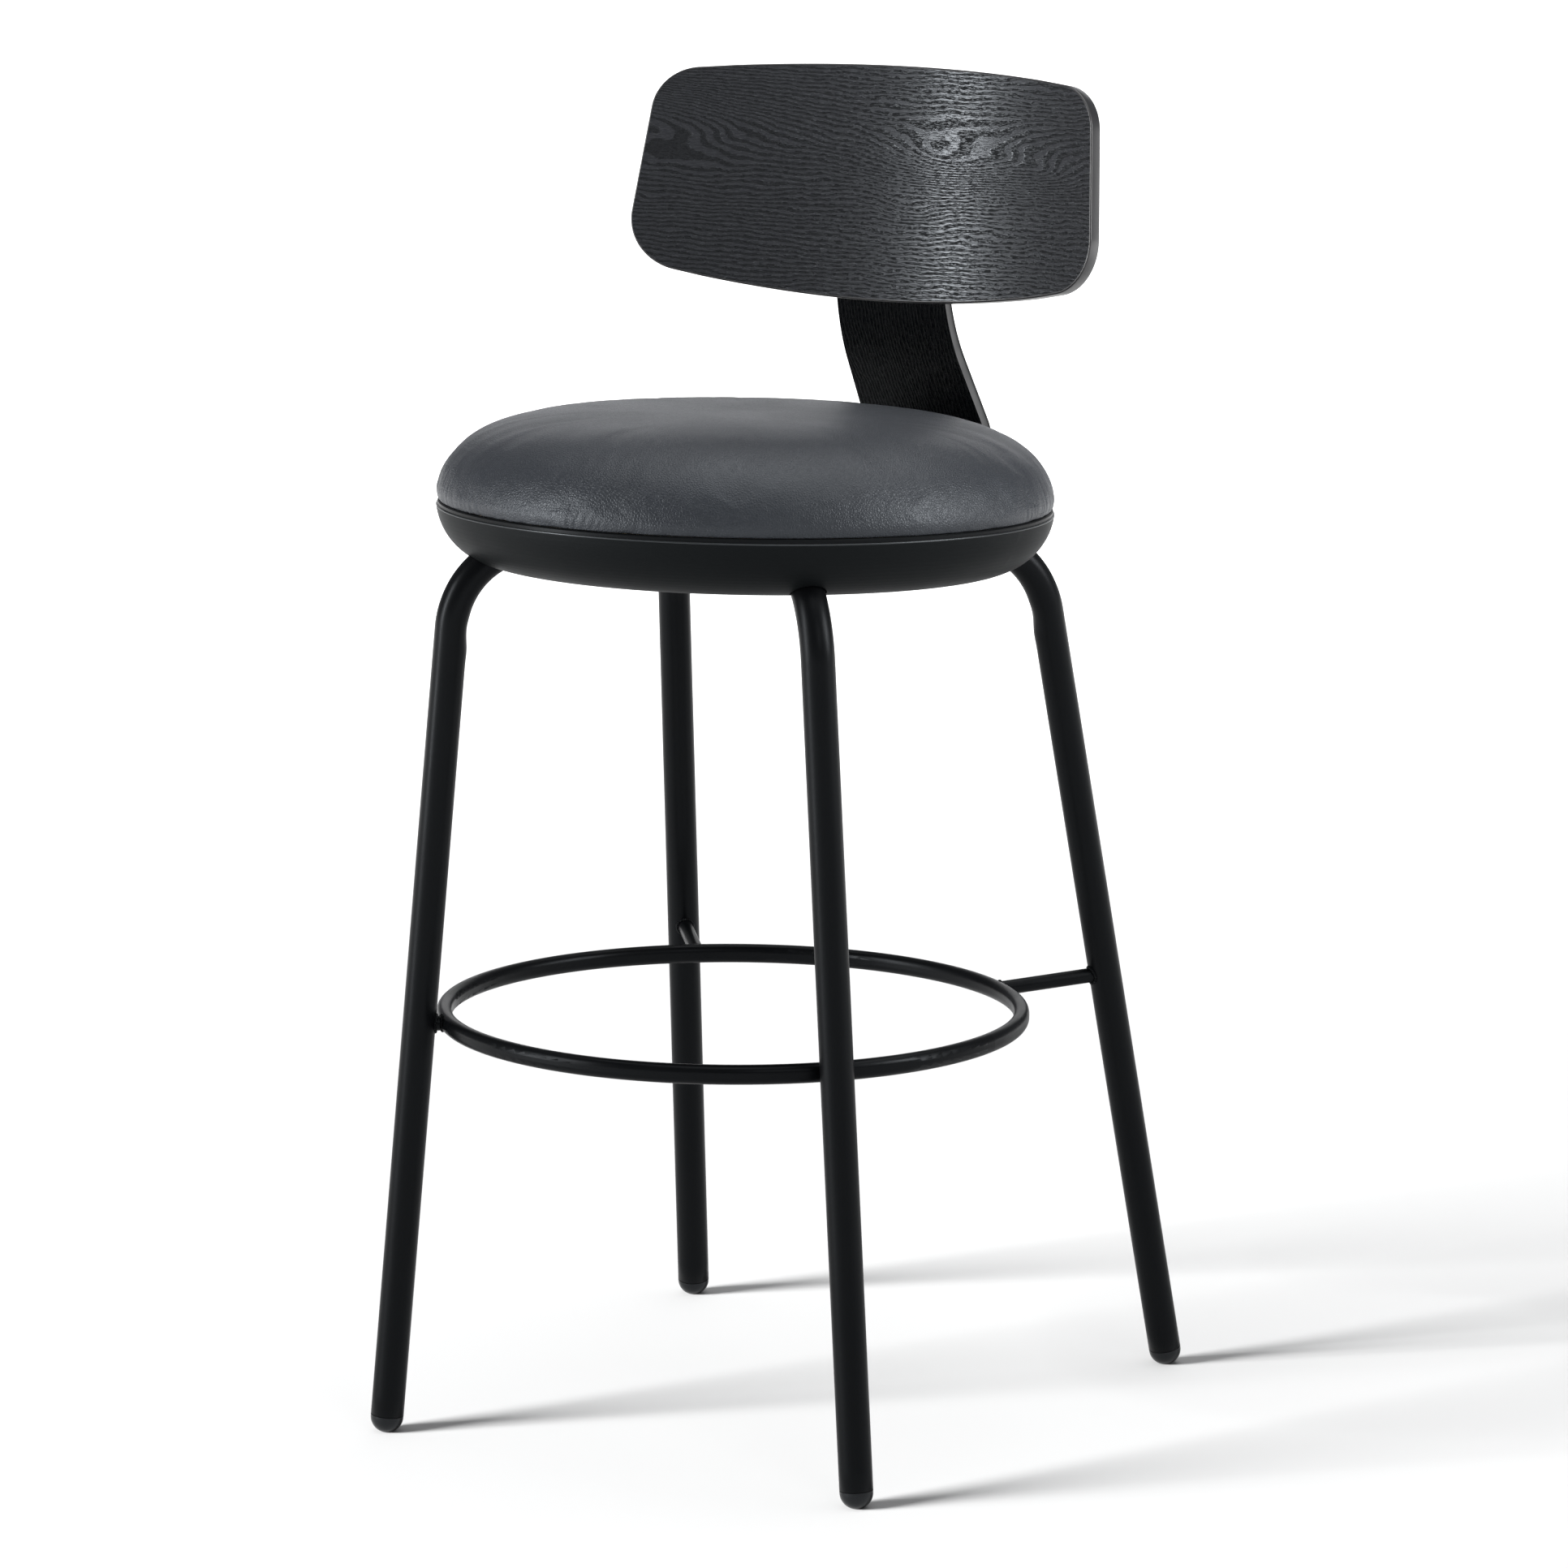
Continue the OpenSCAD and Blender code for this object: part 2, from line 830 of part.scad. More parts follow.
module at_panel_screws() {
    for (x = [-panel_screw_x, panel_screw_x], z = panel_screw_zs)
        translate([x, 0, z])
            rotate([-90, 0, 0])
                children();
}

module back_panel() {
    sweep = 2 * asin(panel_width_low / 2 / panel_radius) + 4;
    color(black_wood)
        in_panel()
            translate([0, panel_scoop, 0])
                difference() {
                    intersection() {
                        translate([0, -panel_radius - panel_thickness, -panel_drop])
                            rotate([0, 0, 90 - sweep / 2])
                                rotate_extrude(angle = sweep, $fn = 256)
                                    translate([panel_radius, 0])
                                        square([panel_thickness, panel_height]);
                        translate([0, panel_thickness, 0])
                            rotate([90, 0, 0])
                                linear_extrude(panel_radius)
                                    panel_outline();
                    }
                    at_panel_screws()
                        translate([0, 0, -insert_depth - panel_scoop - 1])
                            cylinder(r = insert_radius + fit_gap, h = insert_depth + panel_scoop + 2);
                }
}

module panel_screws() {
    color(black_metal)
        in_panel()
            at_panel_screws()
                rotate([180, 0, 0])
                    screw(-spine_thickness, m5, m5_head, m5_head_height, spine_thickness + insert_depth - 2);
}

module panel_inserts() {
    color(zinc)
        in_panel()
            at_panel_screws()
                difference() {
                    translate([0, 0, -insert_depth])
                        cylinder(r = insert_radius, h = insert_depth - panel_scoop);
                    translate([0, 0, -insert_depth - 1])
                        cylinder(r = m5 + hole_gap / 2, h = insert_depth + 2);
                }
}

seat_cover();
seat_foam();
seat_board();
trim_ring();
seat_shell();
shell_screws();
board_tee_nuts();
hub_plate();
hub_bolts();
leg_front_left();
leg_front_right();
leg_rear_left();
leg_rear_right();
glide_front_left();
glide_front_right();
glide_rear_left();
glide_rear_right();
foot_ring();
ring_stub_front_left();
ring_stub_front_right();
ring_stub_rear_left();
ring_stub_rear_right();
back_spine();
spine_clamp_plate();
spine_bolts();
back_panel();
panel_screws();
panel_inserts();
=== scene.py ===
"""Counter stool: leather cushion on a moulded shell, bent tube legs, foot ring and a veneered back."""
import json
import logging
import math
from dataclasses import dataclass
from enum import Enum
from typing import Callable, Dict, List, Optional, Sequence, Tuple

import bmesh
import bpy
import numpy as np
from mathutils import Matrix, Vector
from mathutils.bvhtree import BVHTree

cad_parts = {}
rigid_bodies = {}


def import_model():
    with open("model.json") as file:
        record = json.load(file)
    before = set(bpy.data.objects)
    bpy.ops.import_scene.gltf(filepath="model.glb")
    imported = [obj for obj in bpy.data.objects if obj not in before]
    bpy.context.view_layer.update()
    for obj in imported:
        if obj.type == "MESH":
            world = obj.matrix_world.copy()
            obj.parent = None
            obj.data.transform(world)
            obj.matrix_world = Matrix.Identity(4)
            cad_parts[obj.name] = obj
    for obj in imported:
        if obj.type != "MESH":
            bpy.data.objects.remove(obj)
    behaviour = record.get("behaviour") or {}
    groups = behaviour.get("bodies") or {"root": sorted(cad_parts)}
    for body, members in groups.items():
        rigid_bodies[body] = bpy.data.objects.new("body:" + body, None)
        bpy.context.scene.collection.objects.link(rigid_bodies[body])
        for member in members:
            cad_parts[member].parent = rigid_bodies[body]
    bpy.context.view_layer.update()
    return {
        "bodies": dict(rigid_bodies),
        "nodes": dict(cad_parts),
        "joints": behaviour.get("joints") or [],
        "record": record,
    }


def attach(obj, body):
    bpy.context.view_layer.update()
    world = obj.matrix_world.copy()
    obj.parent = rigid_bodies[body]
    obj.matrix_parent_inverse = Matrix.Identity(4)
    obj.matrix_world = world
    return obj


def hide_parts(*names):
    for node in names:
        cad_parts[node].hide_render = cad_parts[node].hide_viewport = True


log = logging.getLogger("stool")
Point = Tuple[float, float, float]
Colour = Tuple[float, float, float]
MM = 0.001
BODY = "root"

# Levels and radii shared by several sub-assemblies, in millimetres, as in the part's source.
SEAT_Y = -29.944
RIM_HEIGHT = 618.0
SEAT_LEAN = math.radians(1.6)
SEAT_RADIUS = 204.5
BOARD_TOP = 2.6
BOARD_BOTTOM = -9.4
TUBE_RADIUS = 11.0
RUN_LEVEL = -23.4

# Tint of the gloss on the dark finishes.
COOL = (0.88, 0.94, 1.0)


class Side(Enum):
    """Which side of the stool a leg stands on, as the sign of X."""
    LEFT = -1
    RIGHT = 1


class Grain(Enum):
    """How the veneer's figure lies on a piece."""
    CATHEDRAL = "cathedral"
    STRAIGHT = "straight"


# ---------------------------------------------------------------- frames and mesh helpers

def seat_to_row(points: np.ndarray) -> np.ndarray:
    """Turns points of the leaning seat's own frame into the row frame.

    Args:
        points: N by 3 array in millimetres.

    Returns:
        N by 3 array in millimetres.
    """
    c, s = math.cos(SEAT_LEAN), math.sin(SEAT_LEAN)
    x, y, z = points[:, 0], points[:, 1], points[:, 2]
    return np.stack([x, SEAT_Y + y * c + z * s, RIM_HEIGHT - y * s + z * c], axis=1)


def seat_point(x: float, y: float, z: float) -> Vector:
    """One point of the seat's frame, in the row frame, in millimetres."""
    return Vector(seat_to_row(np.array([[x, y, z]]))[0])


def unit(v: Vector) -> Vector:
    """The direction of v."""
    return v.normalized()


def linked(name: str, data: bpy.types.ID) -> bpy.types.Object:
    """Makes an object from its data and links it to the scene."""
    obj = bpy.data.objects.new(name, data)
    bpy.context.scene.collection.objects.link(obj)
    return obj


def mesh_object(name: str, points_mm: Sequence, faces: Sequence,
                smooth_angle: Optional[float] = None) -> bpy.types.Object:
    """Makes a mesh object at the origin, with its place in its mesh.

    Args:
        name: Piece name.
        points_mm: Vertices in the row frame, in millimetres.
        faces: Vertex numbers of each face.
        smooth_angle: Edges sharper than this, in degrees, stay sharp; None leaves all smooth.

    Returns:
        The linked object.
    """
    mesh = bpy.data.meshes.new(name)
    verts = (np.asarray(points_mm, float) * MM).tolist()
    mesh.from_pydata(verts, [], [tuple(int(i) for i in f) for f in faces])
    mesh.validate()
    mesh.polygons.foreach_set("use_smooth", [True] * len(mesh.polygons))
    obj = linked(name, mesh)
    face_outwards(mesh)
    if smooth_angle is not None:
        mesh.set_sharp_from_angle(angle=math.radians(smooth_angle))
    return obj


def evaluated_mesh(obj: bpy.types.Object) -> bpy.types.Mesh:
    """A new mesh of an object as its modifiers leave it."""
    graph = bpy.context.evaluated_depsgraph_get()
    return bpy.data.meshes.new_from_object(obj.evaluated_get(graph))


def vertex_places(mesh: bpy.types.Mesh) -> np.ndarray:
    """A mesh's vertices as an N by 3 array, in metres."""
    flat = np.zeros(len(mesh.vertices) * 3)
    mesh.vertices.foreach_get("co", flat)
    return flat.reshape(-1, 3)


def circle(count: int) -> np.ndarray:
    """Evenly spaced angles once round a circle, in radians."""
    return np.linspace(0.0, 2 * math.pi, count, endpoint=False)


def running_length(points: Sequence[Vector]) -> np.ndarray:
    """How far each point lies along the line through them all."""
    steps = [(b - a).length for a, b in zip(points, points[1:])]
    return np.concatenate([[0.0], np.cumsum(steps)])


def face_outwards(mesh: bpy.types.Mesh) -> None:
    """Recalculates the normals of a closed mesh so that they point out."""
    bm = bmesh.new()
    bm.from_mesh(mesh)
    bmesh.ops.recalc_face_normals(bm, faces=bm.faces)
    bm.to_mesh(mesh)
    bm.free()


def ring_faces(rings: int, around: int, start: int = 0) -> List[Tuple[int, ...]]:
    """Quads that join consecutive closed rings of vertices.

    Args:
        rings: How many rings there are.
        around: Vertices in each ring.
        start: Number of the first vertex.

    Returns:
        The faces.
    """
    faces = []
    for r in range(rings - 1):
        a, b = start + r * around, start + (r + 1) * around
        for i in range(around):
            j = (i + 1) % around
            faces.append((a + i, a + j, b + j, b + i))
    return faces


def closed_skin(rings: int, around: int) -> List[Tuple[int, ...]]:
    """Faces of rings of vertices between one vertex before them and one after them.

    Args:
        rings: How many rings there are.
        around: Vertices in each ring.

    Returns:
        The faces.
    """
    last, end = 1 + (rings - 1) * around, 1 + rings * around
    faces = [(0, 1 + i, 1 + (i + 1) % around) for i in range(around)]
    faces += ring_faces(rings, around, 1)
    return faces + [(end, last + (i + 1) % around, last + i) for i in range(around)]


def capped_sweep(rings: int, around: int) -> List[Tuple[int, ...]]:
    """Faces of a swept skin whose two end middles come after its rings.

    Args:
        rings: How many rings there are.
        around: Vertices in each ring.

    Returns:
        The faces.
    """
    base, last = rings * around, (rings - 1) * around
    faces = ring_faces(rings, around)
    for i in range(around):
        j = (i + 1) % around
        faces += [(base, j, i), (base + 1, last + i, last + j)]
    return faces


def set_uv(obj: bpy.types.Object, uv_of_vertex: np.ndarray) -> None:
    """Writes a UV map from one coordinate pair for each vertex.

    Args:
        obj: The piece.
        uv_of_vertex: N by 2 array.
    """
    layer = obj.data.uv_layers.new(name="grain")
    corners = np.zeros(len(obj.data.loops), np.int32)
    obj.data.loops.foreach_get("vertex_index", corners)
    layer.data.foreach_set("uv", uv_of_vertex[corners].astype(np.float32).ravel())


def finish_piece(obj: bpy.types.Object, slot: str, nodes: Sequence[str] = ()) -> bpy.types.Object:
    """Rides a piece on the stool's one body and names what it stands for.

    Args:
        obj: The piece.
        slot: The record's material slot.
        nodes: The CAD nodes that it replaces.

    Returns:
        The piece.
    """
    if nodes:
        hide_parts(*nodes)
    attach(obj, BODY)
    log.info("%s: %d faces, slot %s", obj.name, len(obj.data.polygons), slot)
    return obj


# ---------------------------------------------------------------- shader building

class Shader:
    """A small builder of node materials round one Principled shader."""

    def __init__(self, name: str, colour: Colour, roughness: float, specular: float = 0.5,
                 metallic: float = 0.0, tint: Colour = (1.0, 1.0, 1.0)) -> None:
        """Starts a material with its uniform values on the shader's own sockets.

        Args:
            name: Material name.
            colour: Base colour, linear.
            roughness: Base roughness.
            specular: Specular level.
            metallic: 0 or 1.
            tint: Tint of the gloss.
        """
        self.material = bpy.data.materials.new(name)
        self.material.use_nodes = True
        self.tree = self.material.node_tree
        self.main = self.tree.nodes["Principled BSDF"]
        self.main.inputs["Base Color"].default_value = (*colour, 1.0)
        self.main.inputs["Roughness"].default_value = roughness
        self.main.inputs["Specular IOR Level"].default_value = specular
        self.main.inputs["Metallic"].default_value = metallic
        self.main.inputs["Specular Tint"].default_value = (*tint, 1.0)
        self.coords = self.tree.nodes.new("ShaderNodeTexCoord")

    def node(self, kind: str, **values: object) -> bpy.types.Node:
        """A new node with properties set by keyword."""
        made = self.tree.nodes.new(kind)
        for key, value in values.items():
            setattr(made, key, value)
        return made

    def feed(self, target: bpy.types.NodeSocket, value: object) -> None:
        """Links a socket to a target, or sets the target's number."""
        if isinstance(value, bpy.types.NodeSocket):
            self.tree.links.new(value, target)
        else:
            target.default_value = value

    def place(self, scale: Point = (1.0, 1.0, 1.0), use_uv: bool = False) -> bpy.types.NodeSocket:
        """Object or UV coordinates through a Mapping node.

        Args:
            scale: Scale along each axis.
            use_uv: True for the piece's own UV map.

        Returns:
            The vector socket.
        """
        mapping = self.node("ShaderNodeMapping")
        self.feed(mapping.inputs["Vector"], self.coords.outputs["UV" if use_uv else "Object"])
        mapping.inputs["Scale"].default_value = scale
        return mapping.outputs["Vector"]

    def noise(self, vector: bpy.types.NodeSocket, scale: float, detail: float = 2.0,
              roughness: float = 0.5) -> bpy.types.NodeSocket:
        """A noise texture's value."""
        tex = self.node("ShaderNodeTexNoise")
        self.feed(tex.inputs["Vector"], vector)
        for key, value in (("Scale", scale), ("Detail", detail), ("Roughness", roughness)):
            tex.inputs[key].default_value = value
        return tex.outputs["Fac"]

    def cells(self, vector: bpy.types.NodeSocket, scale: float) -> bpy.types.NodeSocket:
        """The distance to the nearest edge between Voronoi cells."""
        tex = self.node("ShaderNodeTexVoronoi", feature="DISTANCE_TO_EDGE")
        self.feed(tex.inputs["Vector"], vector)
        tex.inputs["Scale"].default_value = scale
        return tex.outputs["Distance"]

    def warp(self, vector: bpy.types.NodeSocket, scale: float, reach: float) -> bpy.types.NodeSocket:
        """Coordinates shaken by a noise texture's colour.

        Args:
            vector: The coordinates.
            scale: The noise's scale.
            reach: How far the noise moves them.

        Returns:
            The vector socket.
        """
        tex = self.node("ShaderNodeTexNoise")
        self.feed(tex.inputs["Vector"], vector)
        tex.inputs["Scale"].default_value = scale
        small = self.node("ShaderNodeVectorMath", operation="SCALE")
        self.feed(small.inputs[0], tex.outputs["Color"])
        small.inputs["Scale"].default_value = reach
        moved = self.node("ShaderNodeVectorMath", operation="ADD")
        self.feed(moved.inputs[0], vector)
        self.feed(moved.inputs[1], small.outputs[0])
        return moved.outputs[0]

    def math(self, operation: str, a: object, b: object = 0.0, c: object = 0.0) -> bpy.types.NodeSocket:
        """A Math node's value."""
        made = self.node("ShaderNodeMath", operation=operation)
        for socket, value in zip(made.inputs, (a, b, c)):
            self.feed(socket, value)
        return made.outputs[0]

    def steps(self, value: bpy.types.NodeSocket, low: float, high: float,
              to_low: float = 0.0, to_high: float = 1.0) -> bpy.types.NodeSocket:
        """A smooth step of value from low to high."""
        made = self.node("ShaderNodeMapRange", interpolation_type="SMOOTHSTEP")
        self.feed(made.inputs["Value"], value)
        for key, number in (("From Min", low), ("From Max", high), ("To Min", to_low),
                            ("To Max", to_high)):
            made.inputs[key].default_value = number
        return made.outputs["Result"]

    def blend(self, share: bpy.types.NodeSocket, first: Colour, second: Colour) -> bpy.types.NodeSocket:
        """A colour between two, by share."""
        made = self.node("ShaderNodeMix", data_type="RGBA")
        self.feed(made.inputs[0], share)
        made.inputs[6].default_value = (*first, 1.0)
        made.inputs[7].default_value = (*second, 1.0)
        return made.outputs[2]

    def bump(self, height: bpy.types.NodeSocket, depth_mm: float, strength: float = 1.0,
             under: Optional[bpy.types.NodeSocket] = None) -> bpy.types.NodeSocket:
        """A bump of the given depth, on top of another."""
        made = self.node("ShaderNodeBump")
        self.feed(made.inputs["Height"], height)
        made.inputs["Distance"].default_value = depth_mm * MM
        made.inputs["Strength"].default_value = strength
        if under is not None:
            self.feed(made.inputs["Normal"], under)
        return made.outputs["Normal"]

    def dress(self, colour: Optional[bpy.types.NodeSocket] = None,
              roughness: Optional[bpy.types.NodeSocket] = None,
              normal: Optional[bpy.types.NodeSocket] = None) -> bpy.types.Material:
        """Links what varies over the surface and returns the material."""
        for key, socket in (("Base Color", colour), ("Roughness", roughness), ("Normal", normal)):
            if socket is not None:
                self.feed(self.main.inputs[key], socket)
        return self.material


# ---------------------------------------------------------------- finishes

@dataclass(frozen=True)
class PowderCoat:
    """Satin black powder coat on steel tube and bar."""
    name: str = "powder_coat"
    colour: Colour = (0.0014, 0.0016, 0.0019)
    worn: Colour = (0.0024, 0.0026, 0.0030)
    roughness: float = 0.34
    specular: float = 0.09
    cloud_scale: float = 14.0
    peel_scale: float = 420.0
    peel_depth: float = 0.05
    grit_scale: float = 1900.0
    grit_depth: float = 0.02

    def make(self) -> bpy.types.Material:
        """Builds the material."""
        sh = Shader(self.name, self.colour, self.roughness, specular=self.specular, tint=COOL)
        at = sh.place()
        cloud = sh.noise(at, self.cloud_scale, 3.0)
        colour = sh.blend(cloud, self.colour, self.worn)
        rough = sh.steps(cloud, 0.3, 0.7, self.roughness - 0.04, self.roughness + 0.05)
        peel = sh.bump(sh.noise(at, self.peel_scale), self.peel_depth, 0.7)
        grit = sh.noise(at, self.grit_scale, 1.0)
        return sh.dress(colour, rough, sh.bump(grit, self.grit_depth, 0.6, under=peel))


@dataclass(frozen=True)
class Leather:
    """Fine-grained dark slate leather. Depths are in millimetres."""
    name: str = "slate_leather"
    colour: Colour = (0.0140, 0.0160, 0.0200)
    dark: Colour = (0.0094, 0.0108, 0.0138)
    roughness: float = 0.46
    specular: float = 0.42
    sheen: float = 0.04
    sheen_roughness: float = 0.45
    sheen_tint: Colour = (0.75, 0.78, 0.85)
    cloud_scale: float = 9.0
    warp_scale: float = 260.0
    warp_reach: float = 0.0012
    pebble_scale: float = 560.0
    pebble_groove: float = 0.32
    pebble_depth: float = 0.17
    fine_scale: float = 2600.0
    fine_depth: float = 0.03
    soft_scale: float = 38.0
    soft_depth: float = 0.5

    def make(self) -> bpy.types.Material:
        """Builds the material."""
        sh = Shader(self.name, self.colour, self.roughness, specular=self.specular, tint=COOL)
        sh.main.inputs["Sheen Weight"].default_value = self.sheen
        sh.main.inputs["Sheen Roughness"].default_value = self.sheen_roughness
        sh.main.inputs["Sheen Tint"].default_value = (*self.sheen_tint, 1.0)
        at = sh.place()
        cloud = sh.noise(at, self.cloud_scale, 4.0, 0.55)
        colour = sh.blend(sh.steps(cloud, 0.25, 0.75), self.dark, self.colour)
        cells = sh.cells(sh.warp(at, self.warp_scale, self.warp_reach), self.pebble_scale)
        pebble = sh.steps(cells, 0.0, self.pebble_groove)
        rough = sh.steps(cloud, 0.2, 0.8, self.roughness + 0.05, self.roughness - 0.05)
        rough = sh.math("ADD", rough, sh.math("MULTIPLY", pebble, -0.05))
        normal = sh.bump(sh.noise(at, self.soft_scale, 3.0, 0.6), self.soft_depth, 0.25)
        normal = sh.bump(pebble, self.pebble_depth, 0.85, under=normal)
        normal = sh.bump(sh.noise(at, self.fine_scale), self.fine_depth, 0.5, under=normal)
        return sh.dress(colour, rough, normal)


@dataclass(frozen=True)
class MouldedPlastic:
    """Matt moulded plastic with a fine spark texture. Depths are in millimetres."""
    name: str = "shell_plastic"
    colour: Colour = (0.0026, 0.0032, 0.0034)
    roughness: float = 0.50
    specular: float = 0.08
    texture_depth: float = 0.04
    texture_scale: float = 1500.0
    cloud_scale: float = 11.0
    cloud_gain: float = 1.25
    wave_scale: float = 26.0
    wave_depth: float = 0.3

    def make(self) -> bpy.types.Material:
        """Builds the material."""
        sh = Shader(self.name, self.colour, self.roughness, specular=self.specular, tint=COOL)
        at = sh.place()
        cloud = sh.noise(at, self.cloud_scale, 3.0)
        colour = sh.blend(cloud, self.colour, tuple(c * self.cloud_gain for c in self.colour))
        rough = sh.steps(cloud, 0.3, 0.7, self.roughness - 0.04, self.roughness + 0.04)
        wave = sh.bump(sh.noise(at, self.wave_scale), self.wave_depth, 0.12)
        spark = sh.noise(at, self.texture_scale)
        return sh.dress(colour, rough, sh.bump(spark, self.texture_depth, 0.7, under=wave))


@dataclass(frozen=True)
class Swell:
    """One hill of the growth-ring field: its middle and reach in metres, and its height in rings."""
    along: float
    across: float
    reach_along: float
    reach_across: float
    rings: float


@dataclass(frozen=True)
class Veneer:
    """Black-stained open-pored ash veneer. The piece's UV map gives metres along and across the grain."""
    name: str = "black_veneer"
    grain: Grain = Grain.CATHEDRAL
    colour: Colour = (0.0200, 0.0205, 0.0232)
    pore: Colour = (0.0006, 0.0006, 0.0008)
    rings_per_metre: float = 300.0
    specular: float = 0.28
    drift: float = 5.0
    zigzag: float = 2.1
    early_depth: float = 0.12
    pore_depth: float = 0.90
    swells: Tuple[Swell, ...] = (
        Swell(-0.185, 0.068, 0.085, 0.022, -8.5),
        Swell(0.050, 0.048, 0.060, 0.018, 6.6),
        Swell(0.125, 0.042, 0.036, 0.012, 3.2),
        Swell(0.020, 0.012, 0.026, 0.012, 2.0),
    )

    def ring_field(self, sh: Shader) -> bpy.types.NodeSocket:
        """The growth-ring count over the sheet, whose fraction gives the bands.

        Args:
            sh: The shader that the nodes go in.

        Returns:
            The value socket.
        """
        split = sh.node("ShaderNodeSeparateXYZ")
        sh.feed(split.inputs[0], sh.place(use_uv=True))
        u, v = split.outputs[0], split.outputs[1]
        total = sh.math("MULTIPLY", v, self.rings_per_metre)
        if self.grain is Grain.CATHEDRAL:
            for swell in self.swells:
                du = sh.math("DIVIDE", sh.math("SUBTRACT", u, swell.along), swell.reach_along)
                dv = sh.math("DIVIDE", sh.math("SUBTRACT", v, swell.across), swell.reach_across)
                square = sh.math("ADD", sh.math("MULTIPLY", du, du), sh.math("MULTIPLY", dv, dv))
                hill = sh.math("POWER", math.e, sh.math("MULTIPLY", square, -1.0))
                total = sh.math("MULTIPLY_ADD", hill, swell.rings, total)
        drift = sh.noise(sh.place((7.0, 24.0, 1.0), use_uv=True), 1.0)
        total = sh.math("MULTIPLY_ADD", drift, self.drift, total)
        zigzag = sh.noise(sh.place((38.0, 62.0, 1.0), use_uv=True), 1.0, 3.0)
        return sh.math("MULTIPLY_ADD", zigzag, self.zigzag, total)

    def make(self) -> bpy.types.Material:
        """Builds the material."""
        sh = Shader(self.name, self.colour, 0.4, specular=self.specular, tint=COOL)
        count = self.ring_field(sh)
        band = sh.math("FRACT", count)
        early = sh.math("MULTIPLY", sh.steps(band, 0.0, 0.10), sh.steps(band, 0.42, 0.62, 1.0, 0.0))
        dash = sh.noise(sh.place((170.0, 1250.0, 1.0), use_uv=True), 1.0, 2.0, 0.6)
        speck = sh.noise(sh.place((520.0, 1900.0, 1.0), use_uv=True), 1.0, 1.0)
        pores = sh.math("MULTIPLY", sh.steps(dash, 0.50, 0.60),
                        sh.math("MULTIPLY_ADD", early, 0.85, 0.12))
        depth = sh.math("MAXIMUM", pores, sh.math("MULTIPLY", sh.steps(speck, 0.56, 0.68), early))
        darkness = sh.math("MAXIMUM", depth, sh.math("MULTIPLY", early, 0.58))
        colour = sh.blend(darkness, self.colour, self.pore)
        rough = sh.math("MULTIPLY_ADD", early, 0.10, 0.23)
        rough = sh.math("MULTIPLY_ADD", depth, 0.45, rough)
        broad = sh.bump(sh.math("MULTIPLY", early, -1.0), self.early_depth)
        normal = sh.bump(sh.math("MULTIPLY", depth, -1.0), self.pore_depth, under=broad)
        return sh.dress(colour, rough, normal)


@dataclass(frozen=True)
class Lacquer:
    """Smooth black lacquer on the sanded edge of the plywood."""
    name: str = "edge_lacquer"
    colour: Colour = (0.0060, 0.0058, 0.0066)
    roughness: float = 0.33
    specular: float = 0.60
    cloud_scale: float = 60.0
    cloud_gain: float = 1.5
    ripple_scale: float = 500.0
    ripple_depth: float = 0.03

    def make(self) -> bpy.types.Material:
        """Builds the material."""
        sh = Shader(self.name, self.colour, self.roughness, specular=self.specular)
        at = sh.place()
        cloud = sh.noise(at, self.cloud_scale, 3.0)
        colour = sh.blend(cloud, self.colour, tuple(c * self.cloud_gain for c in self.colour))
        rough = sh.steps(cloud, 0.3, 0.7, self.roughness - 0.03, self.roughness + 0.06)
        ripple = sh.noise(at, self.ripple_scale)
        return sh.dress(colour, rough, sh.bump(ripple, self.ripple_depth, 0.5))


@dataclass(frozen=True)
class PlainFinish:
    """Zinc, plywood, foam and the other finishes inside the seat."""
    name: str
    colour: Colour
    roughness: float
    metallic: float = 0.0
    grain_scale: Point = (60.0, 60.0, 60.0)
    depth: float = 0.05

    def make(self) -> bpy.types.Material:
        """Builds the material."""
        sh = Shader(self.name, self.colour, self.roughness, metallic=self.metallic)
        streak = sh.noise(sh.place(self.grain_scale), 1.0, 4.0, 0.6)
        colour = sh.blend(streak, tuple(c * 0.8 for c in self.colour), self.colour)
        rough = sh.steps(streak, 0.3, 0.7, self.roughness, min(1.0, self.roughness + 0.12))
        return sh.dress(colour, rough, sh.bump(streak, self.depth, 0.6))


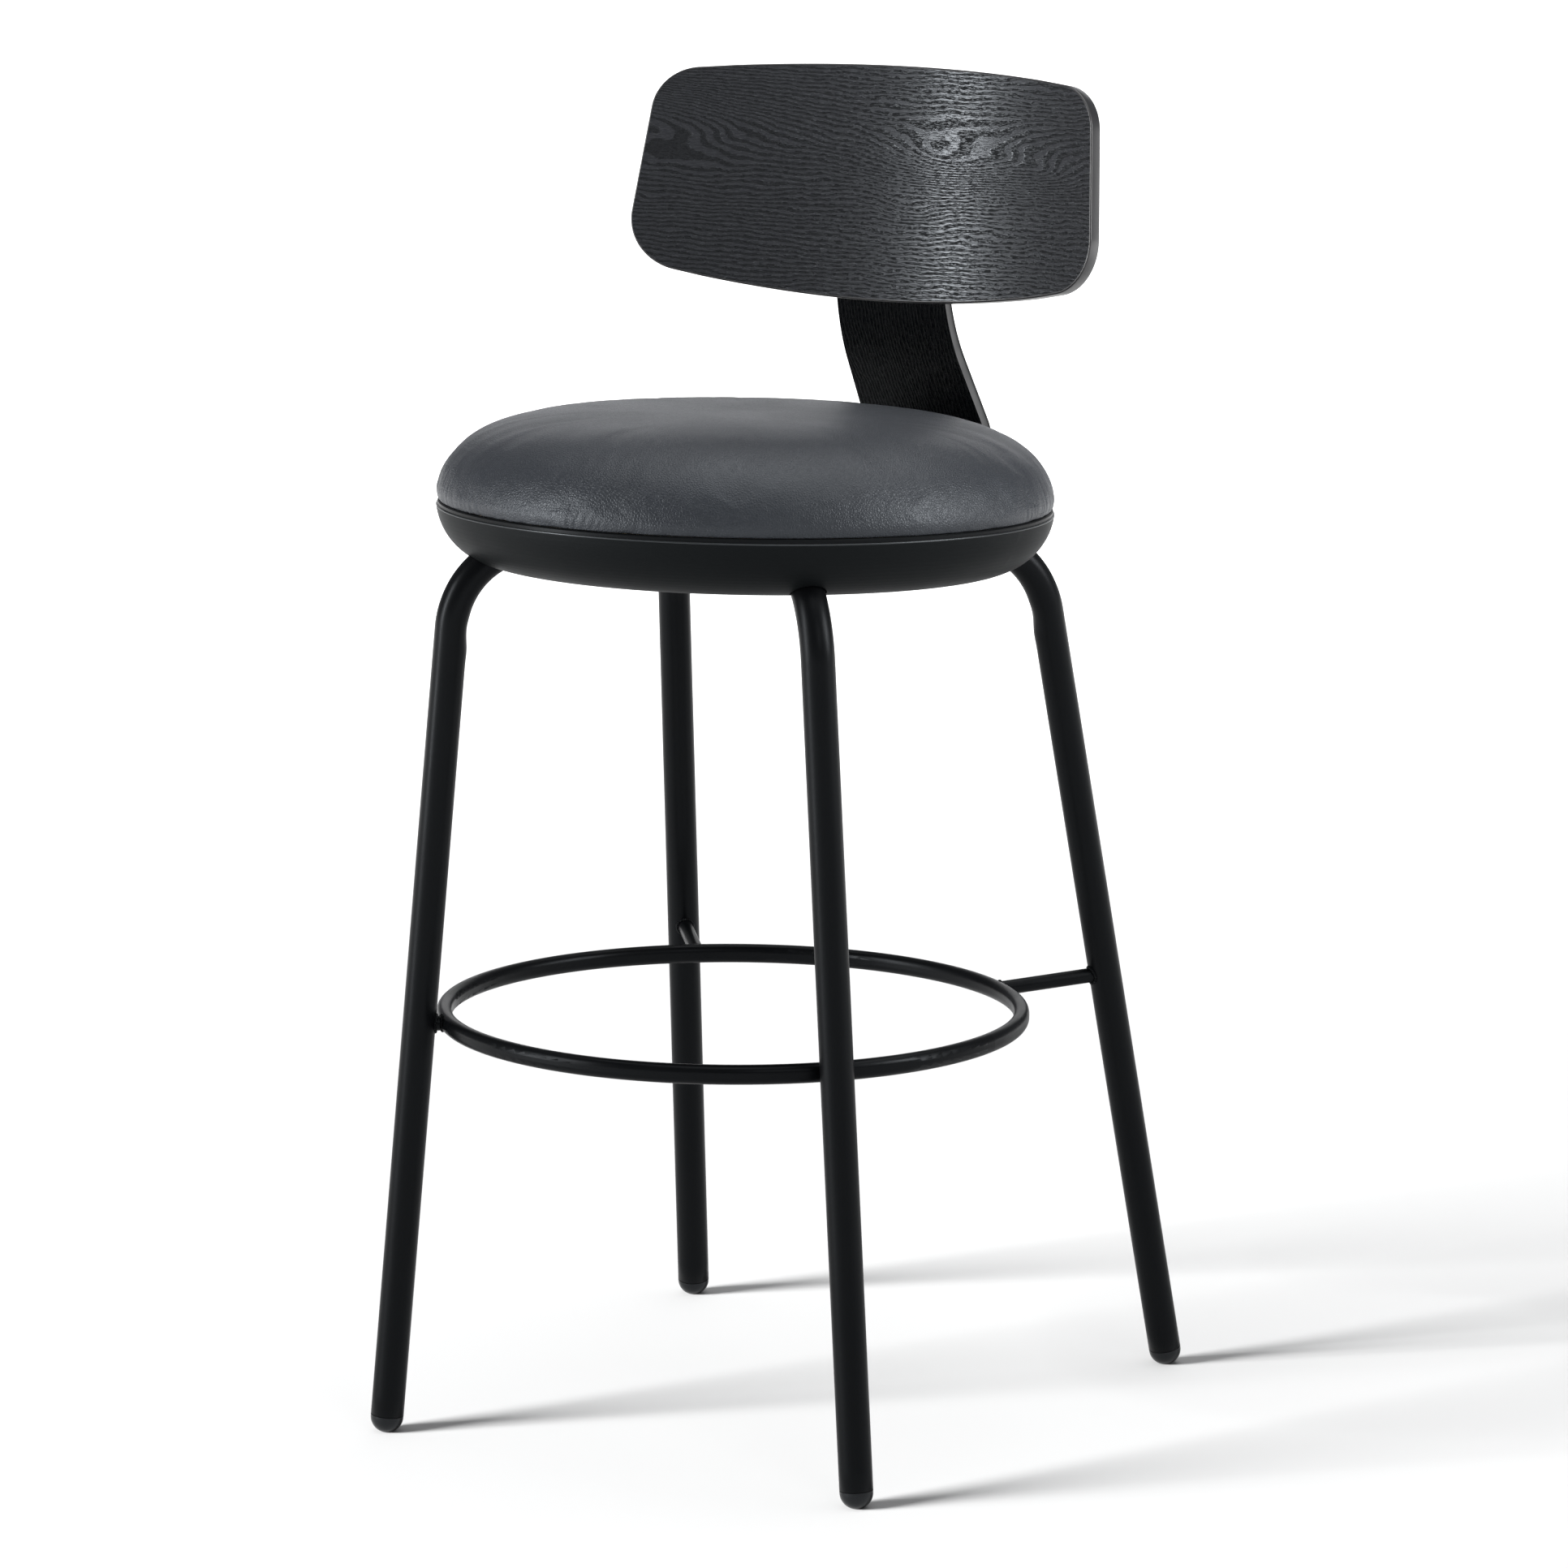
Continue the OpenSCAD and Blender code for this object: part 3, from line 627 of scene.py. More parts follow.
class Finishes:
    """Every material of the stool, made once."""

    def __init__(self) -> None:
        """Builds them all."""
        self.powder = PowderCoat().make()
        self.leather = Leather().make()
        self.shell = MouldedPlastic().make()
        self.trim = MouldedPlastic("trim_plastic", (0.0020, 0.0023, 0.0025), 0.40, 0.09, 0.02).make()
        # The lip bead's plastic is the shell plastic with a glossier finish, which is real, and about
        # twice the shell's colour, which is a painted highlight along the lip.
        self.lip = MouldedPlastic("lip_plastic", (0.0050, 0.0058, 0.0060), 0.36, 0.55, 0.01).make()
        self.glide = MouldedPlastic("glide_plastic", (0.0016, 0.0016, 0.0018), 0.26, 0.30, 0.01).make()
        self.veneer = Veneer().make()
        # The spine's veneer is the black veneer with its colour made many times darker: painted shade
        # over the whole spine.
        self.spine_veneer = Veneer("spine_veneer", Grain.STRAIGHT, (0.0008, 0.0010, 0.0016),
                                   (0.0004, 0.0004, 0.0006), 380.0, specular=0.07).make()
        self.lacquer = Lacquer().make()
        self.zinc = PlainFinish("zinc_steel", (0.62, 0.63, 0.64), 0.3, 1.0, (300.0, 300.0, 60.0)).make()
        self.black_screw = PlainFinish("black_screws", (0.02, 0.02, 0.021), 0.35, 1.0,
                                       (400.0, 400.0, 400.0)).make()
        self.birch = PlainFinish("birch_plywood", (0.62, 0.47, 0.29), 0.6, 0.0,
                                 (12.0, 160.0, 400.0)).make()
        self.foam = PlainFinish("seat_foam", (0.80, 0.74, 0.52), 0.9, 0.0,
                                (700.0, 700.0, 700.0), 0.3).make()

    def by_slot(self) -> Dict[str, bpy.types.Material]:
        """The finish of each of the record's slots, for the CAD nodes that stay."""
        return {
            "frame_powder_coat": self.powder, "glide_plastic": self.glide,
            "seat_leather": self.leather, "seat_foam": self.foam,
            "birch_plywood": self.birch, "trim_plastic": self.trim,
            "shell_plastic": self.shell, "zinc_steel": self.zinc,
            "black_veneer": self.veneer, "black_screws": self.black_screw,
        }

    def dress_frame(self, nodes: Dict[str, bpy.types.Object]) -> None:
        """Gives each CAD node its finish through its object's own material slots.

        Args:
            nodes: The CAD nodes by name.
        """
        finish = self.by_slot()
        for node in nodes.values():
            for slot in node.material_slots:
                wanted = finish[slot.material.name.split(".")[0]]
                slot.link = "OBJECT"
                slot.material = wanted


# ---------------------------------------------------------------- upholstery

@dataclass(frozen=True)
class Crease:
    """A short crease in the leather that runs up from the cushion's lower edge.

    Turn is in degrees about the seat, lean is sideways millimetres for each millimetre up, and the
    rest is in millimetres.
    """
    turn: float
    height: float
    length: float
    depth: float
    width: float
    lean: float = 0.0


@dataclass
class Upholstery:
    """The round leather cushion, pulled down tight over its board."""
    finishes: Finishes
    rise: float = 59.0
    power: float = 5.3
    tuck: float = 2.4
    tuck_height: float = 9.0
    hem_inset: float = 9.0
    around: int = 900
    top_rows: int = 34
    side_rows: int = 62
    voxel: float = 5.0
    start_inset: float = 6.0
    frames: int = 20
    pressure: float = 4.0
    cap: float = 16.0
    sim_gain_top: float = 0.10
    sim_gain_low: float = 0.38
    sim_reach: float = 16.0
    sim_limit: float = 0.9
    core_height: float = 12.0
    blank_rows: int = 44
    blank_around: int = 128
    held_height: float = 5.0
    stiffness: float = 25.0
    bending: float = 0.8
    shrink: float = -0.008
    quality: int = 5
    split_radius: float = 175.0
    row_power: float = 0.85
    fold_below: float = 4.0
    fold_above: float = 1.6
    shoulder: float = 0.42
    shoulder_place: float = 1.9
    shoulder_width: float = 1.2
    ripple: float = 0.54
    ripple_reach: float = 12.0
    calm_rows: int = 6
    hem_step: float = 2.2
    hem_lift: float = 0.1
    seed: int = 17

    def outline(self, turns: np.ndarray, inset: float = 0.0) -> Tuple[np.ndarray, np.ndarray]:
        """Radius and height of the crown at each turn from its middle.

        Args:
            turns: Angles from 0 at the middle to 90 degrees at the edge, in radians.
            inset: How far inside the finished surface it lies.

        Returns:
            Radii and heights in the seat's frame.
        """
        radius = (SEAT_RADIUS - inset) * np.sin(turns) ** (2.0 / self.power)
        height = BOARD_TOP + (self.rise - inset) * np.cos(turns)
        below = np.clip(1.0 - (height - BOARD_TOP) / self.tuck_height, 0.0, 1.0)
        return radius - self.tuck * below ** 2, height

    def section(self) -> Tuple[np.ndarray, np.ndarray]:
        """The rows of the finished cushion from its middle to its edge, close together on its side.

        Returns:
            Radii and heights.
        """
        turns = np.linspace(0.0, math.pi / 2, 4001)
        radius, height = self.outline(turns)
        run = np.concatenate([[0.0], np.cumsum(np.hypot(np.diff(radius), np.diff(height)))])
        split = np.interp(self.split_radius, radius, run)
        rows = np.concatenate([
            split * np.linspace(0.0, 1.0, self.top_rows, endpoint=False) ** self.row_power,
            np.linspace(split, run[-1], self.side_rows),
        ])[1:]
        return np.interp(rows, run, radius), np.interp(rows, run, height)

    def blank(self) -> bpy.types.Object:
        """The closed pad that is blown up, with evenly spaced vertices."""
        radius, height = self.outline(np.linspace(0.02, math.pi / 2, self.blank_rows), self.start_inset)
        points = [(0.0, 0.0, height[0])]
        for r, h in zip(radius, height):
            points += [(r * math.cos(a), r * math.sin(a), h) for a in circle(self.blank_around)]
        points.append((0.0, 0.0, BOARD_TOP))
        pad = mesh_object("cushion_blank", points, closed_skin(len(radius), self.blank_around))
        remesh = pad.modifiers.new("even", "REMESH")
        remesh.mode = "VOXEL"
        remesh.voxel_size = self.voxel * MM
        even = evaluated_mesh(pad)
        pad.modifiers.clear()
        pad.data = even
        return pad

    def inflated(self) -> Optional[np.ndarray]:
        """Blows the cushion up by cloth simulation and measures how far it leaves its mean shape.
        """
        pad = self.blank()
        start = vertex_places(pad.data)
        held = pad.vertex_groups.new(name="held")
        edge = (BOARD_TOP + self.held_height) * MM
        held.add([i for i, p in enumerate(start) if p[2] < edge], 1.0, "REPLACE")
        settings = pad.modifiers.new("inflate", "CLOTH").settings
        settings.vertex_group_mass = "held"
        settings.use_pressure = True
        settings.uniform_pressure_force = self.pressure
        settings.shrink_min = self.shrink
        settings.quality = self.quality
        settings.tension_stiffness = self.stiffness
        settings.compression_stiffness = self.stiffness
        settings.bending_stiffness = self.bending
        settings.effector_weights.gravity = 0.0
        scene = bpy.context.scene
        for frame in range(1, self.frames + 1):
            scene.frame_set(frame)
        blown = evaluated_mesh(pad)
        scene.frame_set(1)
        step = vertex_places(blown) - start
        far = np.linalg.norm(step, axis=1, keepdims=True)
        step *= np.minimum(1.0, self.cap * MM / np.maximum(far, 1e-9))
        blown.vertices.foreach_set("co", (start + step).ravel())
        table = self.read_offsets(blown)
        bpy.data.objects.remove(pad)
        return table

    def read_offsets(self, blown: bpy.types.Mesh) -> np.ndarray:
        """Measures a simulated shell from the cushion's core and takes its mean shape away.

        Args:
            blown: The simulated mesh in the seat's frame, in metres.

        Returns:
            Offsets in millimetres, one row for each row of the section, 360 turns wide.
        """
        tree = BVHTree.FromPolygons([v.co.copy() for v in blown.vertices],
                                    [tuple(p.vertices) for p in blown.polygons])
        core = Vector((0.0, 0.0, self.core_height * MM))
        radius, height = self.section()
        table = np.zeros((len(radius), 360))
        for row, (r, h) in enumerate(zip(radius, height)):
            for turn in range(360):
                a = math.radians(turn)
                aim = Vector((r * math.cos(a), r * math.sin(a), h - self.core_height)) * MM
                hit = tree.ray_cast(core, aim.normalized())
                table[row, turn] = (hit[3] / MM if hit[0] is not None else np.nan)
        mean = np.nanmean(table, axis=1, keepdims=True)
        table = np.where(np.isnan(table), mean, table) - mean
        low = np.exp(-((height - BOARD_TOP) / self.sim_reach) ** 2)[:, None]
        gain = self.sim_gain_top + (self.sim_gain_low - self.sim_gain_top) * low
        return np.clip(table * gain, -self.sim_limit, self.sim_limit)

    def creases(self) -> List[Crease]:
        """One sharp pucker at the front, and fans of fine creases where the leather is pulled round."""
        rng = np.random.default_rng(self.seed)
        made = [
            Crease(-93.9, 4.0, 17.0, 1.15, 0.9, 0.10),
            Crease(-92.0, 6.0, 14.0, 0.55, 1.1, 0.45),
            Crease(-90.2, 5.0, 11.0, 0.50, 1.0, 0.55),
            Crease(-88.6, 4.0, 9.0, 0.45, 0.9, 0.60),
            Crease(-87.2, 4.0, 8.0, 0.38, 0.9, 0.65),
            Crease(-85.6, 3.0, 7.0, 0.30, 0.9, 0.70),
            Crease(-96.6, 3.0, 9.0, 0.30, 1.3, -0.20),
            Crease(-80.0, 3.0, 8.0, 0.22, 1.6, 0.30),
        ]
        fans = ((-150.0, -118.0, 16, 30.0, 0.34), (2.0, 26.0, 12, 30.0, 0.32),
                (62.0, 118.0, 16, 20.0, 0.28), (150.0, 172.0, 9, 24.0, 0.28),
                (-62.0, -30.0, 9, 9.0, 0.16))
        for low, high, count, length, depth in fans:
            for i in range(count):
                turn = low + (high - low) * (i + rng.uniform(0.15, 0.85)) / count
                made.append(Crease(turn, rng.uniform(3.0, 7.0), length * rng.uniform(0.55, 1.1),
                                   depth * rng.uniform(0.6, 1.2), rng.uniform(1.1, 1.9),
                                   rng.uniform(-0.15, 0.15)))
        return made

    def worked(self, turn: np.ndarray, height: np.ndarray) -> np.ndarray:
        """How far the creases and the pull of the hem move the leather outwards.

        Args:
            turn: Angle of each vertex about the seat, in degrees.
            height: Height of each vertex over the board, in millimetres.

        Returns:
            Offsets in millimetres.
        """
        out = np.zeros_like(height)
        for crease in self.creases():
            mid = crease.turn + np.degrees(crease.lean * (height - crease.height) / SEAT_RADIUS)
            away = (turn - mid + 180.0) % 360.0 - 180.0
            away = np.radians(away) * SEAT_RADIUS / crease.width
            up = (height - crease.height) / crease.length
            window = np.exp(-(up * np.where(up < 0, self.fold_below, self.fold_above)) ** 2)
            raised = np.exp(-((np.abs(away) - self.shoulder_place) / self.shoulder_width) ** 2)
            out += crease.depth * window * (self.shoulder * raised - np.exp(-away ** 2))
        rng = np.random.default_rng(self.seed + 1)
        low = np.exp(-((height - 3.0) / self.ripple_reach) ** 2)
        for waves in (5, 9, 14, 23, 37):
            swing = self.ripple / waves ** 0.8
            out += swing * low * np.sin(np.radians(turn) * waves + rng.uniform(0, 2 * math.pi))
        return out

    def build(self) -> bpy.types.Object:
        """Makes the cushion as one closed skin and dresses it.

        Returns:
            The piece.
        """
        radius, height = self.section()
        angle = circle(self.around)
        turn, _ = np.meshgrid(np.degrees(angle) - 180.0, radius)
        r = np.repeat(radius[:, None], self.around, axis=1)
        h = np.repeat(height[:, None], self.around, axis=1)
        slope_r, slope_h = np.gradient(radius), np.gradient(height)
        norm = np.hypot(slope_r, slope_h)
        out_r, out_h = -slope_h / norm, slope_r / norm
        push = self.worked(turn, h - BOARD_TOP)
        table = self.inflated()
        if table is not None:
            at = (np.degrees(angle) - 180.0) % 360.0
            wide = np.concatenate([table, table[:, :1]], axis=1)
            push += np.stack([np.interp(at, np.arange(361.0), line) for line in wide])
        push[:self.calm_rows] *= np.linspace(0.0, 1.0, self.calm_rows)[:, None]
        lift = BOARD_TOP + self.hem_lift
        r = r + out_r[:, None] * push
        h = np.maximum(h + out_h[:, None] * push, lift)
        hem = np.full(self.around, lift)
        r = np.vstack([r, r[-1] - self.hem_step, r[-1] - self.hem_inset])
        h = np.vstack([h, hem, hem])
        a = np.radians(turn[0])
        grid = np.stack([r * np.cos(a), r * np.sin(a), h], axis=2).reshape(-1, 3)
        points = np.vstack([[0.0, 0.0, BOARD_TOP + self.rise], grid, [0.0, 0.0, lift]])
        faces = closed_skin(len(radius) + 2, self.around)
        cushion = mesh_object("cushion", seat_to_row(points), faces)
        cushion.data.materials.append(self.finishes.leather)
        finish_piece(cushion, "seat_leather", ("seat_cover", "seat_foam"))
        return cushion


# ---------------------------------------------------------------- shell lip

@dataclass
class LipBead:
    """The lip bead that rounds the moulded shell's upper edge."""
    finishes: Finishes
    bead_radius: float = 0.9
    bead_centre: float = 203.35
    flatness: float = 0.8
    level: float = -1.25
    around: int = 360
    across: int = 14

    def build(self) -> bpy.types.Object:
        """Makes the bead.

        Returns:
            The piece.
        """
        points = []
        for b in circle(self.across):
            r = self.bead_centre + self.bead_radius * math.cos(b)
            z = self.level + self.bead_radius * self.flatness * math.sin(b)
            points += [(r * math.cos(a), r * math.sin(a), z) for a in circle(self.around)]
        faces = ring_faces(self.across, self.around)
        top = (self.across - 1) * self.around
        faces += [(top + i, top + (i + 1) % self.around, (i + 1) % self.around, i)
                  for i in range(self.around)]
        bead = mesh_object("shell_lip_bead", seat_to_row(np.array(points)), faces)
        # A lighter copy of the shell plastic: its lighter colour is a painted highlight along the lip.
        bead.data.materials.append(self.finishes.lip)
        return finish_piece(bead, "shell_plastic")


# ---------------------------------------------------------------- legs

@dataclass
class LegTube:
    """One bent leg tube: up from its glide, round one bend and in under the seat."""
    finishes: Finishes
    name: str
    side: Side
    corner: Tuple[float, float]
    splay: Tuple[float, float]
    bend_radius: float
    collar: float = 1.2
    run_end: float = 41.9225
    glide_flat: float = 4.0
    around: int = 56
    end_round: float = 0.45
    pinch: float = 1.0
    pinch_length: float = 8.0
    pinch_ahead: float = 2.0
    swell: float = 0.3
    swell_length: float = 6.0
    swell_ahead: float = 16.0
    flattening: float = 0.025
    flattening_ease: float = 15.0
    straight_rows: int = 40
    close_rows: int = 22
    close_reach: float = 30.0
    bend_rows: int = 40
    run_rows: int = 12

    def foot(self) -> Vector:
        """Centre of the glide's dome."""
        x = self.side.value * (self.corner[0] + self.splay[0])
        y = SEAT_Y + self.corner[1] + math.copysign(self.splay[1], self.corner[1])
        return Vector((x, y, math.sqrt(TUBE_RADIUS ** 2 - self.glide_flat ** 2)))

    def knee(self) -> Vector:
        """Where the leg's two straight stretches would meet."""
        return seat_point(self.side.value * self.corner[0], self.corner[1], RUN_LEVEL)

    def head(self) -> Vector:
        """The inner end, under the seat."""
        reach = Vector((self.side.value * self.corner[0], self.corner[1])).normalized() * self.run_end
        return seat_point(reach.x, reach.y, RUN_LEVEL)

    def axis_at(self, height: float) -> Vector:
        """A point of the leg's axis at a height above the floor."""
        foot, knee = self.foot(), self.knee()
        return foot + (knee - foot) * (height - foot.z) / (knee.z - foot.z)

    def path(self) -> Tuple[List[Vector], List[Vector], Vector, float, float]:
        """Stations along the centreline.

        Returns:
            Points, tangents, the direction towards the bend's middle, and how far along the line the
            bend starts and ends.
        """
        foot, knee, head = self.foot(), self.knee(), self.head()
        up, inward = unit(knee - foot), unit(head - knee)
        turn = math.acos(max(-1.0, min(1.0, up.dot(inward))))
        setback = self.bend_radius * math.tan(turn / 2)
        start = foot + up * self.collar
        bend_start, bend_end = knee - up * setback, knee + inward * setback
        side = unit(inward - up * up.dot(inward))
        centre = bend_start + side * self.bend_radius
        points, tangents = [], []
        straight = (bend_start - start).length
        stops = sorted({*np.linspace(0.0, straight, self.straight_rows),
                        *np.linspace(straight - self.close_reach, straight, self.close_rows)})
        for s in stops:
            points.append(start + up * s)
            tangents.append(up)
        for i in range(1, self.bend_rows + 1):
            a = turn * i / self.bend_rows
            out = up * math.sin(a) - side * math.cos(a)
            points.append(centre + out * self.bend_radius)
            tangents.append(up * math.cos(a) + side * math.sin(a))
        for s in np.linspace(0.0, (head - bend_end).length, self.run_rows)[1:]:
            points.append(bend_end + inward * s)
            tangents.append(inward)
        return points, tangents, side, straight, straight + self.bend_radius * turn

    def build(self) -> bpy.types.Object:
        """Sweeps the tube, with the dent and flattening that the bending former leaves.

        Returns:
            The piece.
        """
        points, tangents, side, bend_start, bend_end = self.path()
        across = unit(tangents[0].cross(side))
        rows = [(p, unit(across.cross(t)), s, 0.0)
                for p, t, s in zip(points, tangents, running_length(points))]
        first, final = rows[0], rows[-1]
        rows[0] = (first[0] + tangents[0] * self.end_round, *first[1:])
        rows[-1] = (final[0] - tangents[-1] * self.end_round, *final[1:])
        rows = [(*first[:3], -self.end_round), *rows, (*final[:3], -self.end_round)]
        verts: List[Vector] = []
        for p, n, s, grow in rows:
            in_bend = max(0.0, min(1.0, (s - bend_start) / self.flattening_ease,
                                   (bend_end - s) / self.flattening_ease))
            dent = math.exp(-((s - bend_start + self.pinch_ahead) / self.pinch_length) ** 2)
            swell = math.exp(-((s - bend_start + self.swell_ahead) / self.swell_length) ** 2)
            for a in circle(self.around):
                r = (TUBE_RADIUS + grow) * (1.0 - self.flattening * in_bend * math.cos(a) ** 2)
                r += (self.swell * swell - self.pinch * dent) * max(0.0, math.cos(a)) ** 3
                verts.append(p + n * math.cos(a) * r + across * math.sin(a) * r)
        verts += [first[0], final[0]]
        leg = mesh_object(self.name + "_tube", [tuple(v) for v in verts],
                          capped_sweep(len(rows), self.around), 50.0)
        leg.data.materials.append(self.finishes.powder)
        return finish_piece(leg, "frame_powder_coat", (self.name,))


# ---------------------------------------------------------------- Geometry Nodes

class NodeTree:
    """A Geometry Nodes tree with named inputs, ending in Realize Instances and Set Material."""

    def __init__(self, name: str) -> None:
        """Starts the tree with its geometry sockets."""
        self.tree = bpy.data.node_groups.new(name, "GeometryNodeTree")
        self.tree.interface.new_socket("Geometry", in_out="INPUT", socket_type="NodeSocketGeometry")
        self.tree.interface.new_socket("Geometry", in_out="OUTPUT", socket_type="NodeSocketGeometry")
        self.ids: Dict[str, str] = {}
        self.start = self.tree.nodes.new("NodeGroupInput")
        self.end = self.tree.nodes.new("NodeGroupOutput")

    def size(self, name: str, kind: str = "NodeSocketFloat") -> None:
        """Adds a named input."""
        socket = self.tree.interface.new_socket(name, in_out="INPUT", socket_type=kind)
        self.ids[name] = socket.identifier

    def given(self, name: str) -> bpy.types.NodeSocket:
        """The group input of that name."""
        return self.start.outputs[name]

    def node(self, kind: str, inputs: Optional[Dict[object, object]] = None,
             **values: object) -> bpy.types.Node:
        """A new node.

        Args:
            kind: The node's type.
            inputs: Sockets to link or numbers to set, by socket name or number.
            values: Properties to set.

        Returns:
            The node.
        """
        made = self.tree.nodes.new(kind)
        for key, value in values.items():
            setattr(made, key, value)
        for key, value in (inputs or {}).items():
            if isinstance(value, bpy.types.NodeSocket):
                self.tree.links.new(value, made.inputs[key])
            else:
                made.inputs[key].default_value = value
        return made

    def close(self, instances: bpy.types.NodeSocket) -> None:
        """Realizes the instances, shades them smooth, sets the material and ends the tree."""
        real = self.node("GeometryNodeRealizeInstances", {"Geometry": instances})
        smooth = self.node("GeometryNodeSetShadeSmooth", {"Geometry": real.outputs[0]})
        paint = self.node("GeometryNodeSetMaterial", {"Geometry": smooth.outputs[0],
                                                      "Material": self.given("Material")})
        self.tree.links.new(paint.outputs[0], self.end.inputs[0])

    def bake(self, name: str, source: bpy.types.Object, values: Dict[str, object]) -> bpy.types.Object:
        """Runs the tree on an object and keeps the result as a plain mesh.

        Args:
            name: Piece name.
            source: The object whose geometry goes in; it is removed.
            values: A value for each named input.

        Returns:
            The new object.
        """
        modifier = source.modifiers.new(name, "NODES")
        modifier.node_group = self.tree
        for key, value in values.items():
            modifier[self.ids[key]] = value
        bpy.context.view_layer.update()
        mesh = evaluated_mesh(source)
        mesh.name = name
        made = linked(name, mesh)
        source.modifiers.clear()
        bpy.data.objects.remove(source)
        return made


@dataclass
class WeldBeads:
    """Rippled weld beads where the foot ring's rods meet the ring and the legs."""
    finishes: Finishes
    legs: Sequence[LegTube]
    ring_radius: float = 192.507
    ring_bar: float = 5.2
    ring_height: float = 279.0
    ring_forward: float = 13.5
    rod_radius: float = 5.0
    rod_rise: float = 5.0
    pitch: float = 1.15
    bead: float = 1.25
    flatness: float = 0.72
    scatter: float = 0.16
    ring_flat: float = 1.3
    toe_on_leg: float = 0.5
    toe_on_ring: float = 0.98
    seam_points: int = 32
    seam_reach: float = 30.0
    seam_halvings: int = 24
    seed: int = 5

    def hub(self) -> Vector:
        """The middle of the foot ring."""
        return Vector((0.0, SEAT_Y - self.ring_forward, self.ring_height))

    def rod(self, leg: LegTube) -> Tuple[Vector, Vector]:
        """The rod's ends: on the ring's centreline and on the leg's axis."""
        rise = self.rod_rise if leg.corner[1] > 0 else 0.0
        hub = self.hub()
        at_leg = leg.axis_at(self.ring_height + rise)
        flat = unit(Vector((at_leg.x - hub.x, at_leg.y - hub.y, 0.0)))
        return hub + flat * self.ring_radius, at_leg

    def seam(self, origin: Vector, out: Vector, radius: float,
             hit: Callable[[Vector], float]) -> List[Vector]:
        """A closed seam round a rod where it meets a surface.

        Args:
            origin: A point on the rod's axis inside the surface.
            out: Direction along the rod, out of the surface.
            radius: Seam radius about the rod.
            hit: Distance from the surface, negative inside.

        Returns:
            The seam's points.
        """
        side = unit(out.cross(Vector((0, 0, 1))))
        up = side.cross(out)
        loop = []
        for a in circle(self.seam_points):
            start = origin + side * radius * math.cos(a) + up * radius * math.sin(a)
            near, far = 0.0, self.seam_reach
            for _ in range(self.seam_halvings):
                middle = (near + far) / 2
                if hit(start + out * middle) < 0:
                    near = middle
                else:
                    far = middle
            loop.append(start + out * near)
        return loop

    def seams(self) -> List[List[Vector]]:
        """Every seam on the stool."""
        made = []
        hub = self.hub()
        for leg in self.legs:
            on_ring, on_leg = self.rod(leg)
            out = unit(on_leg - on_ring)
            up = unit(leg.knee() - leg.foot())

            def from_leg(p: Vector, a: Vector = on_leg, d: Vector = up) -> float:
                """Distance of p outside the leg tube."""
                return (p - a - d * (p - a).dot(d)).length - TUBE_RADIUS

            def from_ring(p: Vector) -> float:
                """Distance of p outside the ring's bar."""
                flat = math.hypot(p.x - hub.x, p.y - hub.y) - self.ring_radius
                return math.hypot(flat, max(0.0, abs(p.z - hub.z) - self.ring_flat)) - self.ring_bar
            made.append(self.seam(on_leg, -out, self.rod_radius + self.toe_on_leg, from_leg))
            made.append(self.seam(on_ring, out, self.rod_radius * self.toe_on_ring, from_ring))
        return made

    def build(self) -> bpy.types.Object:
        """Lays the beads along the seams.

        Returns:
            The piece.
        """
        points, edges = [], []
        for loop in self.seams():
            first = len(points)
            points += [tuple(p * MM) for p in loop]
            edges += [(first + i, first + (i + 1) % len(loop)) for i in range(len(loop))]
        mesh = bpy.data.meshes.new("weld_seams")
        mesh.from_pydata(points, edges, [])
        source = linked("weld_seams", mesh)
        net = NodeTree("weld_bead")
        for name in ("Pitch", "Bead Radius", "Flatness", "Scatter"):
            net.size(name)
        net.size("Seed", "NodeSocketInt")
        net.size("Material", "NodeSocketMaterial")
        curve = net.node("GeometryNodeMeshToCurve", {"Mesh": net.given("Geometry")})
        even = net.node("GeometryNodeResampleCurve", {"Curve": curve.outputs[0],
                                                      "Length": net.given("Pitch")}, mode="LENGTH")
        drop = net.node("GeometryNodeMeshIcoSphere", {"Radius": net.given("Bead Radius"),
                                                      "Subdivisions": 2})
        flat = net.node("ShaderNodeCombineXYZ", {"X": 1.0, "Y": 1.0, "Z": net.given("Flatness")})
        tangent = net.node("GeometryNodeInputTangent")
        turned = net.node("FunctionNodeAlignRotationToVector", {"Vector": tangent.outputs[0]}, axis="Z")
        least = net.node("ShaderNodeMath", {0: 1.0, 1: net.given("Scatter")}, operation="SUBTRACT")
        most = net.node("ShaderNodeMath", {0: 1.0, 1: net.given("Scatter")}, operation="ADD")
        chance = net.node("FunctionNodeRandomValue", {2: least.outputs[0], 3: most.outputs[0],
                                                      "Seed": net.given("Seed")}, data_type="FLOAT")
        size = net.node("ShaderNodeVectorMath", {0: flat.outputs[0], "Scale": chance.outputs[1]},
                        operation="SCALE")
        drops = net.node("GeometryNodeInstanceOnPoints", {
            "Points": even.outputs[0], "Instance": drop.outputs[0],
            "Rotation": turned.outputs[0], "Scale": size.outputs[0]})
        net.close(drops.outputs[0])
        beads = net.bake("weld_beads", source, {
            "Pitch": self.pitch * MM, "Bead Radius": self.bead * MM, "Flatness": self.flatness,
            "Scatter": self.scatter, "Seed": self.seed, "Material": self.finishes.powder})
        return finish_piece(beads, "frame_powder_coat")


